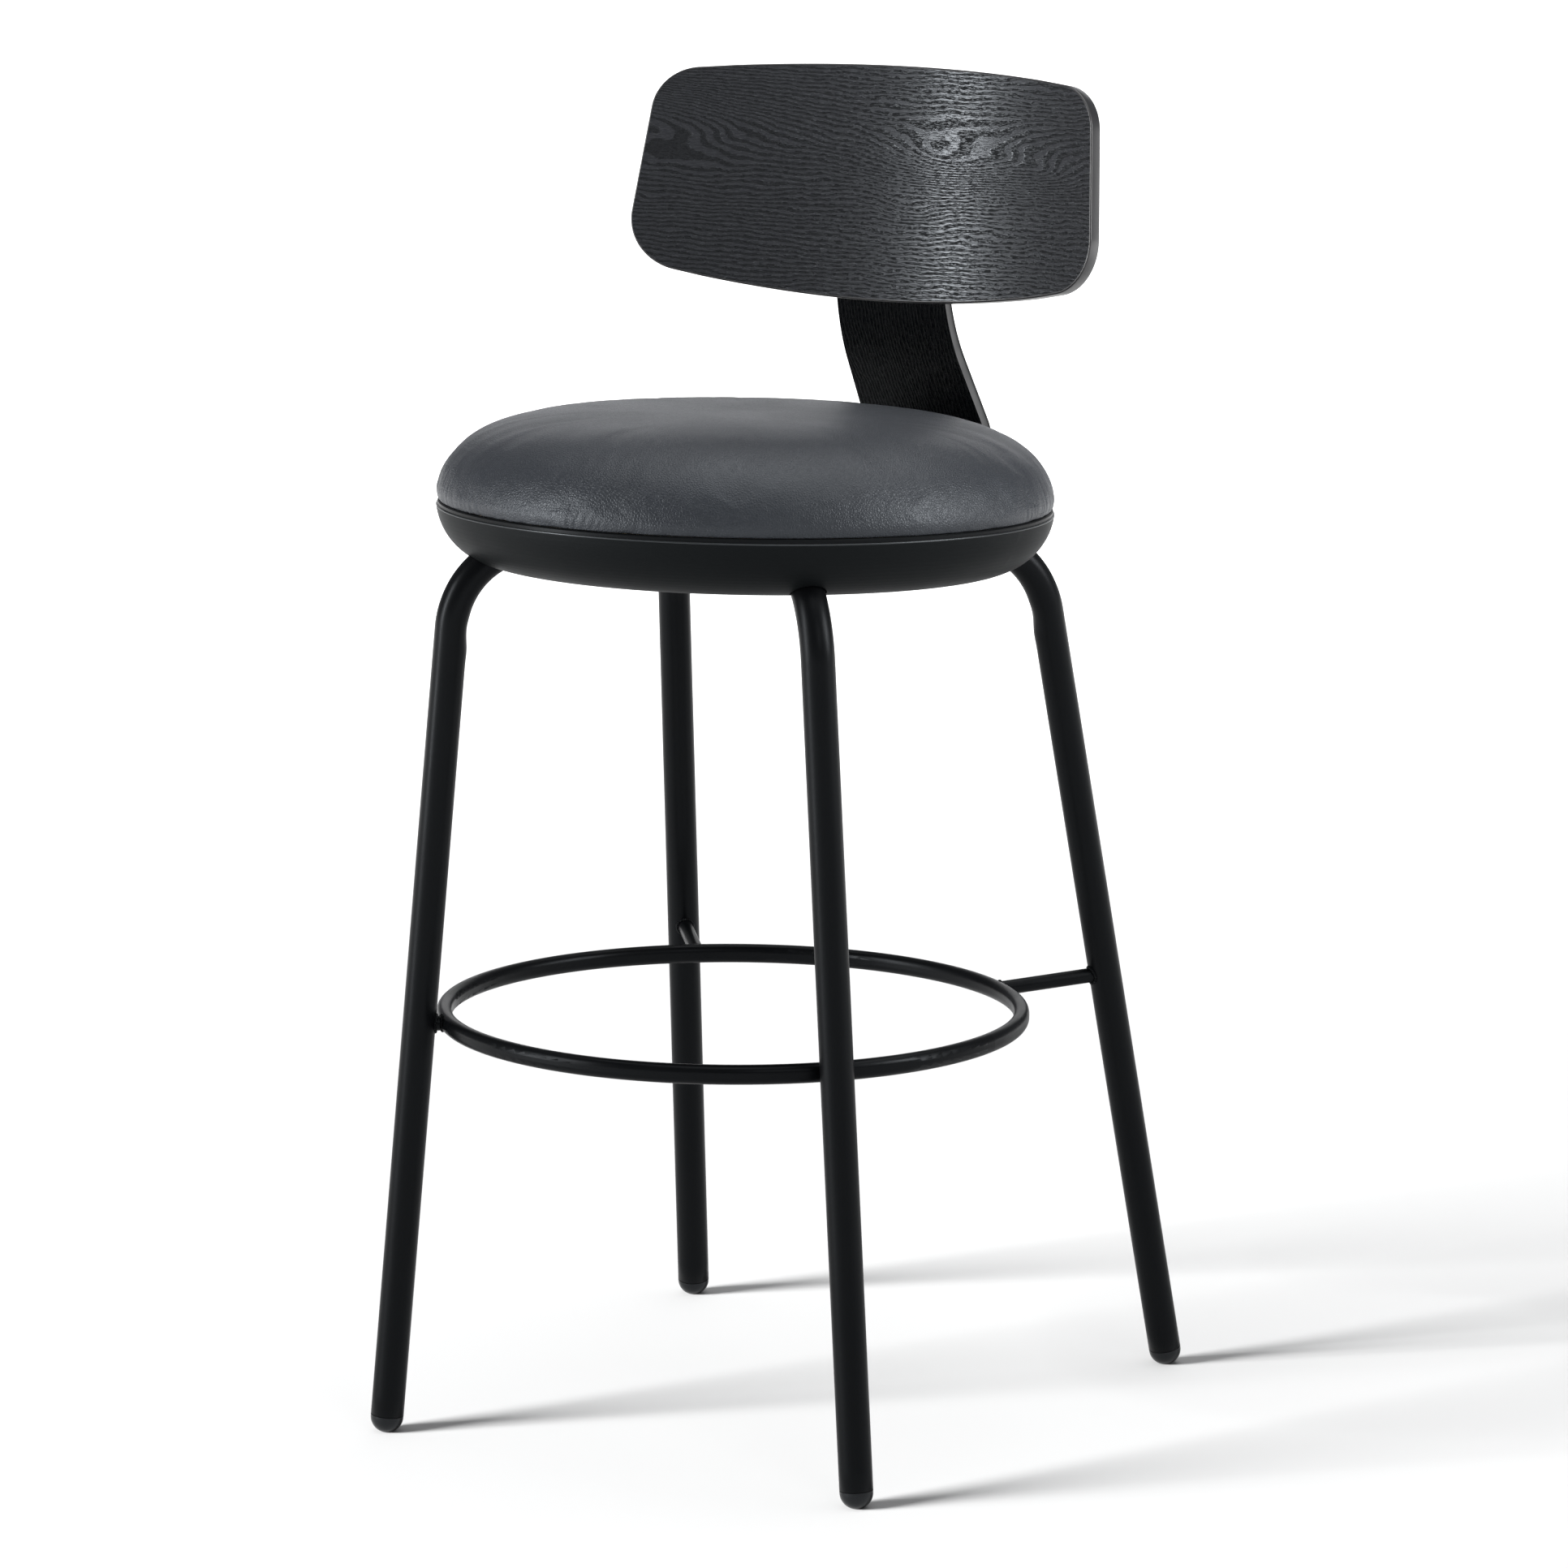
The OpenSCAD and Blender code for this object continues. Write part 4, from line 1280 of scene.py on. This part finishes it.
@dataclass
class ScrewSet:
    """A row of button-head screws, copied by Geometry Nodes from one turned head."""
    finishes: Finishes
    name: str
    head: float
    height: float
    shank: float
    length: float
    seats: Sequence[Tuple[Vector, Vector]]
    around: int = 48
    sharp_angle: float = 35.0

    def template(self) -> bpy.types.Object:
        """One screw whose head's underside is at the origin and whose head points along +Z."""
        r, h = self.head, self.height
        socket, depth = r * 0.45, min(1.6, h * 0.7)
        profile = [(self.shank, -self.length), (self.shank, -0.01), (r * 0.98, 0.0), (r, 0.25),
                   (r * 0.97, h * 0.35), (r * 0.84, h * 0.72), (r * 0.62, h * 0.94), (r * 0.55, h)]
        points: List[Point] = [(0.0, 0.0, -self.length)]
        for radius, z in profile:
            points += [(radius * math.cos(a), radius * math.sin(a), z) for a in circle(self.around)]
        for z, share in ((h, 1.0), (h - depth, 1.0), (h - depth - 0.3, 0.5)):
            for a in circle(self.around):
                hexed = socket * share / math.cos((a % (math.pi / 3)) - math.pi / 6)
                points.append((hexed * math.cos(a), hexed * math.sin(a), z))
        points.append((0.0, 0.0, h - depth - 0.35))
        return mesh_object(self.name + "_template", points,
                           closed_skin(len(profile) + 3, self.around), self.sharp_angle)

    def build(self, material: bpy.types.Material, slot: str, nodes: Sequence[str]) -> bpy.types.Object:
        """Sets the screws in their seats.

        Args:
            material: Their finish.
            slot: The record's slot.
            nodes: The CAD nodes that they replace.

        Returns:
            The piece.
        """
        template = self.template()
        mesh = bpy.data.meshes.new(self.name + "_seats")
        mesh.from_pydata([tuple(p * MM) for p, _ in self.seats], [], [])
        aim = mesh.attributes.new("aim", "FLOAT_VECTOR", "POINT")
        aim.data.foreach_set("vector", [c for _, d in self.seats for c in d])
        source = linked(self.name + "_seats", mesh)
        net = NodeTree("screw_row")
        net.size("Screw", "NodeSocketObject")
        net.size("Seed", "NodeSocketInt")
        net.size("Material", "NodeSocketMaterial")
        spots = net.node("GeometryNodeMeshToPoints", {"Mesh": net.given("Geometry")})
        model = net.node("GeometryNodeObjectInfo", {"Object": net.given("Screw")})
        named = net.node("GeometryNodeInputNamedAttribute", {"Name": "aim"}, data_type="FLOAT_VECTOR")
        turned = net.node("FunctionNodeAlignRotationToVector", {"Vector": named.outputs[0]}, axis="Z")
        spin = net.node("FunctionNodeRandomValue", {2: 0.0, 3: math.tau, "Seed": net.given("Seed")},
                        data_type="FLOAT")
        about = net.node("ShaderNodeCombineXYZ", {"Z": spin.outputs[1]})
        whole = net.node("FunctionNodeRotateRotation", {0: turned.outputs[0], 1: about.outputs[0]},
                         rotation_space="LOCAL")
        placed = net.node("GeometryNodeInstanceOnPoints", {
            "Points": spots.outputs[0], "Instance": model.outputs["Geometry"],
            "Rotation": whole.outputs[0]})
        net.close(placed.outputs[0])
        screws = net.bake(self.name, source, {"Screw": template, "Seed": 3, "Material": material})
        bpy.data.objects.remove(template)
        screws.data.set_sharp_from_angle(angle=math.radians(self.sharp_angle))
        return finish_piece(screws, slot, nodes)


# ---------------------------------------------------------------- back

@dataclass
class BackRest:
    """The bent plywood spine and the curved back panel that is screwed to it."""
    finishes: Finishes
    thickness: float = 8.5
    panel_thickness: float = 12.5
    low_half: float = 47.5
    high_half: float = 41.0
    lean: float = math.radians(33.5)
    reach: float = 72.0
    rise: float = 89.5
    hook_radius: float = 28.0
    upper_radius: float = 135.0
    tilt: float = math.radians(8.5)
    panel_radius: float = 430.0
    panel_low: float = 180.5
    panel_high: float = 167.0
    panel_height: float = 160.0
    panel_drop: float = 50.0
    scoop: float = 3.0
    spine_top: float = 100.0
    run_front: float = 73.62
    low_arch: float = 17.0
    high_arch: float = 12.0
    low_corner: float = 35.0
    high_corner: float = 33.0
    edge_round: float = 1.3
    edge_steps: int = 4
    spine_round: float = 1.1
    spine_corner: float = 14.0
    width_ease: float = 0.35
    edge_normal: float = 0.3

    def __post_init__(self) -> None:
        """Works out where the spine bends and where the panel hangs."""
        self.knee = seat_point(0.0, SEAT_RADIUS + self.reach, BOARD_BOTTOM)
        self.up = Vector((0.0, -math.sin(self.lean), math.cos(self.lean)))
        start = self.knee + self.up * (self.rise / math.cos(self.lean))
        ahead = Vector((0.0, math.cos(self.lean), math.sin(self.lean)))
        behind = Vector((0.0, math.cos(self.tilt), -math.sin(self.tilt)))
        self.upper_centre = start + ahead * self.upper_radius
        self.root = self.upper_centre - behind * self.upper_radius

    def in_panel(self, p: Sequence[float]) -> Vector:
        """A point of the panel's own frame, in the row frame."""
        c, s = math.cos(-self.tilt), math.sin(-self.tilt)
        return self.root + Vector((p[0], p[1] * c - p[2] * s, p[1] * s + p[2] * c))

    def side_path(self) -> Tuple[List[Vector], List[Vector]]:
        """The spine's front (upper) face seen from the side, from under the seat to its top.

        Returns:
            Points and outward normals of that face.
        """
        seat_up = Vector((0.0, math.sin(SEAT_LEAN), math.cos(SEAT_LEAN)))
        back = Vector((0.0, math.cos(SEAT_LEAN), -math.sin(SEAT_LEAN)))
        turn = math.pi / 2 + self.lean + SEAT_LEAN
        cut = self.hook_radius * math.tan(turn / 2)
        hook_start = self.knee - back * cut
        points: List[Vector] = []
        normals: List[Vector] = []
        run = SEAT_RADIUS + self.reach - cut - self.run_front
        for s in np.linspace(run, 0.0, 16)[:-1]:
            points.append(hook_start - back * s)
            normals.append(seat_up)
        centre = hook_start + seat_up * self.hook_radius
        for a in np.linspace(0.0, turn, 34):
            out = seat_up * math.cos(a) - back * math.sin(a)
            points.append(centre - out * self.hook_radius)
            normals.append(out)
        lean_length = self.rise / math.cos(self.lean) - cut
        first = points[-1]
        front = normals[-1]
        for s in np.linspace(0.0, lean_length, 26)[1:-1]:
            points.append(first + self.up * s)
            normals.append(front)
        for a in np.linspace(0.0, self.lean + self.tilt, 30):
            b = -self.lean + a
            out = Vector((0.0, -math.cos(b), math.sin(b)))
            points.append(self.upper_centre + out * self.upper_radius)
            normals.append(out)
        top = self.in_panel((0.0, 0.0, 1.0)) - self.root
        face = normals[-1]
        square = self.spine_top - self.spine_corner
        rounding = np.sin(np.linspace(0, math.pi / 2, 12)[1:])
        for s in sorted({*np.linspace(0.0, square, 14)[1:], *(square + self.spine_corner * rounding)}):
            points.append(self.root + top * s)
            normals.append(face)
        return points, normals

    def half_width(self, z: float) -> float:
        """Half the spine's width at a height above the floor."""
        waist = self.root.z - self.panel_drop
        high = self.root.z + self.spine_top * math.cos(self.tilt)
        share = max(0.0, min(1.0, (z - self.knee.z) / (waist - self.knee.z)))
        eased = share * share * (3 - 2 * share)
        share = eased * self.width_ease + share * (1.0 - self.width_ease)
        half = self.low_half + (self.high_half - self.low_half) * share
        corner = self.spine_corner
        over = max(0.0, z - (high - corner))
        if over > 0:
            half += math.sqrt(max(0.3, corner ** 2 - min(over, corner) ** 2)) - corner
        return half

    def build_spine(self) -> bpy.types.Object:
        """Sweeps the spine with softened edges.

        Returns:
            The piece.
        """
        points, normals = self.side_path()
        runs = running_length(points)
        rnd = self.spine_round
        section: List[Tuple[float, float, float]] = []
        for sx, sy in ((1, 0), (1, 1), (-1, 1), (-1, 0)):
            for k in range(5):
                a = k / 4 * math.pi / 2
                first = (sx > 0) == (sy == 0)
                ca, sa = (math.sin(a), math.cos(a)) if first else (math.cos(a), math.sin(a))
                section.append((sx, -rnd + rnd * ca, (rnd - rnd * sa) if sy == 0
                                else self.thickness - rnd + rnd * sa))
            if (sx, sy) == (1, 1) or (sx, sy) == (-1, 0):
                steps = np.linspace(1, -1, 12)[1:-1] * (1 if sx > 0 else -1)
                depth = self.thickness if sy == 1 else 0.0
                section += [(float(s), 0.0, depth) for s in steps]
        verts, uvs = [], []
        for p, n, s in zip(points, normals, runs):
            half = self.half_width(p.z)
            for sx, inset, depth in section:
                x = sx * half + (math.copysign(inset, sx) if abs(sx) == 1 else 0.0)
                q = p - n * depth + Vector((x, 0.0, 0.0))
                verts.append(self.hollow(q))
                uvs.append((s * MM, x * MM + 0.35 + (0.4 if depth > self.thickness / 2 else 0.0)))
        verts += [points[0] - normals[0] * self.thickness / 2,
                  points[-1] - normals[-1] * self.thickness / 2]
        uvs += [(0.0, 0.35), (runs[-1] * MM, 0.35)]
        spine = mesh_object("back_spine_strip", [tuple(v) for v in verts],
                            capped_sweep(len(points), len(section)), 40.0)
        set_uv(spine, np.array(uvs))
        # The spine's darker copy of the black veneer paints shade onto the spine.
        spine.data.materials.append(self.finishes.spine_veneer)
        spine.data.materials.append(self.finishes.lacquer)
        for face in spine.data.polygons:
            if abs(face.normal.x) > self.edge_normal:
                face.material_index = 1
        return finish_piece(spine, "black_veneer", ("back_spine",))

    def hollow(self, q: Vector) -> Vector:
        """Keeps a point of the spine behind the panel's curved back face."""
        local = q - self.root
        c, s = math.cos(self.tilt), math.sin(self.tilt)
        y, z = local.y * c - local.z * s, local.y * s + local.z * c
        if -self.panel_drop <= z and abs(local.x) < self.high_half + 2:
            back = self.scoop - self.panel_radius - self.panel_thickness + math.sqrt(
                (self.panel_radius + self.panel_thickness + 0.3) ** 2 - local.x ** 2)
            if y < back:
                return self.in_panel((local.x, back, z))
        return q

    def panel_outline(self) -> np.ndarray:
        """The panel's outline seen from the front, as points spaced along it.

        Returns:
            N by 2 array of X and Z in the panel's frame.
        """
        low, high = -self.panel_drop, self.panel_height - self.panel_drop
        wide, narrow = self.panel_low, self.panel_high

        def arch(level: float, rise: float, full: float, reach: float) -> List[Tuple[float, float]]:
            """Right half of an arched edge."""
            return [(x, level + rise * (x / full) ** 2) for x in np.linspace(0.0, reach, 40)]

        def corner(before: np.ndarray, here: np.ndarray, after: np.ndarray,
                   radius: float) -> List[Tuple[float, float]]:
            """A round from one edge into the next."""
            back = (before - here) / np.linalg.norm(before - here)
            ahead = (after - here) / np.linalg.norm(after - here)
            half = math.acos(float(back @ ahead)) / 2
            mid = (back + ahead) / np.linalg.norm(back + ahead)
            centre = here + mid * radius / math.sin(half)
            start = here + back * radius / math.tan(half) - centre
            sweep = math.pi - 2 * half
            return [tuple(centre + np.array([start[0] * math.cos(t) - start[1] * math.sin(t),
                                             start[0] * math.sin(t) + start[1] * math.cos(t)]))
                    for t in np.linspace(0, sweep, 24)]
        lows = arch(low, self.low_arch, wide, wide - 1.5 * self.low_corner)
        highs = arch(high, -self.high_arch, narrow, narrow - 1.5 * self.high_corner)
        low_corner = np.array([wide, low + self.low_arch])
        high_corner = np.array([narrow, high - self.high_arch])
        right = lows + corner(np.array(lows[-1]), low_corner, high_corner, self.low_corner) \
            + corner(low_corner, high_corner, np.array(highs[-1]), self.high_corner) + highs[::-1]
        loop = np.array(right + [(-x, z) for x, z in right[::-1][1:-1]])
        closed = np.vstack([loop, loop[:1]])
        run = np.concatenate([[0.0], np.cumsum(np.linalg.norm(np.diff(closed, axis=0), axis=1))])
        even = np.linspace(0.0, run[-1], 481)[:-1]
        return np.stack([np.interp(even, run, closed[:, 0]), np.interp(even, run, closed[:, 1])], axis=1)

    def build_panel(self) -> bpy.types.Object:
        """Makes the curved panel with rounded lacquered edges.

        Returns:
            The piece.
        """
        loop = self.panel_outline()
        step = np.roll(loop, -1, axis=0) - np.roll(loop, 1, axis=0)
        out = np.stack([step[:, 1], -step[:, 0]], axis=1)
        out /= np.linalg.norm(out, axis=1, keepdims=True)
        centre = np.array([0.0, 30.0])
        rnd, t = self.edge_round, self.panel_thickness
        layers: List[Tuple[np.ndarray, float]] = []
        inner = loop - out * rnd
        shares = (0.06, 0.18, 0.34, 0.52, 0.70, 0.85, 0.95, 0.99, 1.0)
        rounding = np.linspace(0, math.pi / 2, self.edge_steps + 1)
        for share in shares:
            layers.append((centre + (inner - centre) * share, 0.0))
        for a in rounding[1:]:
            layers.append((loop - out * (rnd - rnd * math.sin(a)), rnd - rnd * math.cos(a)))
        for a in rounding:
            layers.append((loop - out * (rnd - rnd * math.cos(a)), t - rnd + rnd * math.sin(a)))
        for share in shares[-2::-1]:
            layers.append((centre + (inner - centre) * share, t))
        verts, uvs = [], []

        def place(x: float, z: float, depth: float) -> None:
            """Adds one vertex at a depth from the panel's front face."""
            r = self.panel_radius + depth
            swing = x / (self.panel_radius + self.panel_thickness / 2)
            y = self.scoop - self.panel_radius - self.panel_thickness + math.sqrt(r * r - x * x)
            verts.append(tuple(self.in_panel((x, y, z))))
            uvs.append((swing * self.panel_radius * MM + (1.0 if depth > t / 2 else 0.0), z * MM))
        place(centre[0], centre[1], 0.0)
        for points, depth in layers:
            for x, z in points:
                place(float(x), float(z), depth)
        place(centre[0], centre[1], t)
        n = len(loop)
        panel = mesh_object("back_panel_board", verts, closed_skin(len(layers), n), 40.0)
        set_uv(panel, np.array(uvs))
        panel.data.materials.append(self.finishes.veneer)
        panel.data.materials.append(self.finishes.lacquer)
        edge_rows = range(len(shares) - 1, len(shares) + 2 * self.edge_steps)
        for face in panel.data.polygons:
            first = min(face.vertices)
            if first > 0 and (first - 1) // n in edge_rows:
                face.material_index = 1
        return finish_piece(panel, "black_veneer", ("back_panel",))

    def screw_seats(self) -> List[Tuple[Vector, Vector]]:
        """Where the four screws sit on the spine's back and which way their heads face."""
        out = unit(self.in_panel((0.0, 1.0, 0.0)) - self.root)
        return [(self.in_panel((x, self.thickness, z)), out) for x in (-22.0, 22.0) for z in (28.0, 78.0)]


# ---------------------------------------------------------------- studio

@dataclass(frozen=True)
class Softbox:
    """One rectangular area light: its middle and aim in metres, its size in metres, its watts.

    spare_floor is True for a light that leaves the floor as it is.
    """
    name: str
    place: Point
    target: Point
    width: float
    height: float
    power: float
    spare_floor: bool = False


@dataclass
class Studio:
    """Pale floor, soft lights and the camera."""
    floor: Optional[bpy.types.Object] = None
    floor_half: float = 40.0
    floor_grey: float = 0.345
    floor_cloud: float = 0.004
    glow_near: float = 0.0
    glow_far: float = 1.10
    glow_start: float = 0.9
    glow_end: float = 4.5
    camera_place: Point = (2.28174, -4.00258, 1.26305)
    azimuth: float = math.radians(29.54)
    elevation: float = math.radians(10.29)
    roll: float = math.radians(0.32)
    lens: float = 160.7
    sensor: float = 36.0
    sky: Colour = (0.93, 0.95, 1.0)
    sky_strength: float = 0.22
    key_strength: float = 17.0
    key_angle: float = math.radians(20.0)
    key_from: Point = (-0.58, -0.81, 0.40)
    softboxes: Tuple[Softbox, ...] = (
        Softbox("top_softbox", (0.2, 0.4, 3.4), (0.0, 0.1, 0.4), 3.4, 3.4, 84.0),
        Softbox("left_strip", (-2.6, -2.7, 1.3), (0.0, 0.0, 0.7), 0.50, 2.4, 135.0),
        Softbox("right_softbox", (3.1, 0.9, 1.9), (0.0, 0.0, 0.6), 1.1, 1.5, 105.0, spare_floor=True),
        Softbox("back_softbox", (-2.2, 4.3, 1.5), (0.0, 0.0, 0.68), 3.0, 1.0, 15.0),
        Softbox("front_softbox", (2.9, -2.5, 2.7), (0.0, 0.0, 0.7), 1.2, 0.9, 18.0),
    )

    def build_floor(self) -> None:
        """Lays the floor, which isn't part of the object."""
        mesh = bpy.data.meshes.new("floor")
        s = self.floor_half
        mesh.from_pydata([(-s, -s, 0), (s, -s, 0), (s, s, 0), (-s, s, 0)], [], [(0, 1, 2, 3)])
        self.floor = linked("floor", mesh)
        sh = Shader("floor_white", (self.floor_grey,) * 3, 0.85, specular=0.1)
        at = sh.place()
        cloud = sh.noise(at, 1.5, 2.0)
        colour = sh.blend(cloud, (self.floor_grey - self.floor_cloud,) * 3,
                          (self.floor_grey + self.floor_cloud,) * 3)
        reach = sh.node("ShaderNodeVectorMath", operation="LENGTH")
        sh.feed(reach.inputs[0], at)
        glow = sh.steps(reach.outputs["Value"], self.glow_start, self.glow_end,
                        self.glow_near, self.glow_far)
        sh.main.inputs["Emission Color"].default_value = (1.0, 1.0, 1.0, 1.0)
        sh.feed(sh.main.inputs["Emission Strength"], glow)
        mesh.materials.append(sh.dress(colour))

    def hang(self, box: Softbox) -> None:
        """Hangs one softbox."""
        data = bpy.data.lights.new(box.name, "AREA")
        data.shape, data.size, data.size_y, data.energy = "RECTANGLE", box.width, box.height, box.power
        lamp = linked(box.name, data)
        lamp.location = box.place
        lamp.visible_camera = False
        aim = Vector(box.target) - Vector(box.place)
        lamp.rotation_euler = aim.to_track_quat("-Z", "Y").to_euler()
        if box.spare_floor:
            self.link_floor(lamp, "EXCLUDE")

    def link_floor(self, lamp: bpy.types.Object, state: str) -> None:
        """Makes a light shine on the floor alone, or on all but the floor.

        Args:
            lamp: The light.
            state: INCLUDE or EXCLUDE.
        """
        receivers = bpy.data.collections.new(lamp.name + "_floor")
        receivers.objects.link(self.floor)
        receivers.collection_objects[0].light_linking.link_state = state
        lamp.light_linking.receiver_collection = receivers

    def build_lights(self) -> None:
        """Sets the sky, which the camera sees as white, the softboxes and the floor's own light."""
        world = bpy.data.worlds.new("studio_sky")
        world.use_nodes = True
        tree = world.node_tree
        sky = tree.nodes["Background"]
        sky.inputs["Color"].default_value = (*self.sky, 1.0)
        sky.inputs["Strength"].default_value = self.sky_strength
        backdrop = tree.nodes.new("ShaderNodeBackground")
        backdrop.inputs["Color"].default_value = (1.0, 1.0, 1.0, 1.0)
        seen = tree.nodes.new("ShaderNodeLightPath")
        either = tree.nodes.new("ShaderNodeMixShader")
        tree.links.new(seen.outputs["Is Camera Ray"], either.inputs[0])
        tree.links.new(sky.outputs[0], either.inputs[1])
        tree.links.new(backdrop.outputs[0], either.inputs[2])
        tree.links.new(either.outputs[0], tree.nodes["World Output"].inputs["Surface"])
        bpy.context.scene.world = world
        for box in self.softboxes:
            self.hang(box)
        self.shadow_key()

    def shadow_key(self) -> None:
        """A low broad light that only the floor receives, for the soft shadows at the feet."""
        data = bpy.data.lights.new("shadow_key", "SUN")
        data.energy, data.angle = self.key_strength, self.key_angle
        lamp = linked("shadow_key", data)
        lamp.rotation_euler = (-Vector(self.key_from)).to_track_quat("-Z", "Y").to_euler()
        self.link_floor(lamp, "INCLUDE")

    def build_camera(self) -> None:
        """Stands the camera."""
        a, e, roll = self.azimuth, self.elevation, self.roll
        right = Vector((math.cos(a), math.sin(a), 0.0))
        ahead = Vector((-math.sin(a) * math.cos(e), math.cos(a) * math.cos(e), -math.sin(e)))
        up = right.cross(ahead)
        across = right * math.cos(roll) + up * math.sin(roll)
        over = up * math.cos(roll) - right * math.sin(roll)
        turn = Matrix((across, over, -ahead)).transposed().to_4x4()
        data = bpy.data.cameras.new("camera")
        data.lens, data.sensor_width = self.lens, self.sensor
        camera = linked("camera", data)
        camera.matrix_world = Matrix.Translation(self.camera_place) @ turn
        bpy.context.scene.camera = camera
        bpy.context.scene.view_settings.view_transform = "Standard"


# ---------------------------------------------------------------- the stool

FRONT_CORNER = (SEAT_RADIUS * 0.652, -SEAT_RADIUS * 0.702)
REAR_CORNER = (SEAT_RADIUS * 0.69, SEAT_RADIUS * 0.707)
FRONT_SPLAY = (46.0, 19.5)
REAR_SPLAY = (48.5, 115.5)
FRONT_BEND = 56.0
REAR_BEND = 64.0


def build_legs(finishes: Finishes) -> List[LegTube]:
    """Makes the four leg tubes and returns their descriptions."""
    legs = []
    for side in Side:
        word = side.name.lower()
        legs += [LegTube(finishes, f"leg_front_{word}", side, FRONT_CORNER, FRONT_SPLAY, FRONT_BEND),
                 LegTube(finishes, f"leg_rear_{word}", side, REAR_CORNER, REAR_SPLAY, REAR_BEND)]
    for leg in legs:
        leg.build()
    return legs


def shell_screw_seats() -> List[Tuple[Vector, Vector]]:
    """Where the shell's six screws sit and which way their heads face."""
    reach = SEAT_RADIUS * 0.73
    turn = math.degrees(math.acos(58.3 / reach))
    down = unit(seat_point(0, 0, -1) - seat_point(0, 0, 0))
    return [(seat_point(reach * math.cos(math.radians(a)), reach * math.sin(math.radians(a)),
                        BOARD_BOTTOM - 6.0), down)
            for a in (turn - 180, -turn, 0, turn, 180 - turn, 180)]


def corners(box: Tuple[Vector, Vector]) -> List[List[float]]:
    """A box as plain lists of numbers."""
    return [list(map(float, c)) for c in box]


def main() -> None:
    """Builds the stool round the frame."""
    logging.basicConfig(level=logging.INFO, format="%(name)s: %(message)s")
    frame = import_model()
    studio = Studio()
    studio.build_camera()
    studio.build_floor()
    studio.build_lights()
    finishes = Finishes()
    finishes.dress_frame(frame["nodes"])
    Upholstery(finishes).build()
    LipBead(finishes).build()
    legs = build_legs(finishes)
    WeldBeads(finishes, legs).build()
    back = BackRest(finishes)
    back.build_spine()
    back.build_panel()
    ScrewSet(finishes, "panel_screw_heads", 4.8, 2.8, 2.5, 12.0, back.screw_seats()).build(
        finishes.black_screw, "black_screws", ("panel_screws",))
    ScrewSet(finishes, "shell_screw_heads", 3.8, 2.4, 2.0, 12.0, shell_screw_seats()).build(
        finishes.zinc, "zinc_steel", ("shell_screws",))


if __name__ == "__main__":
    main()
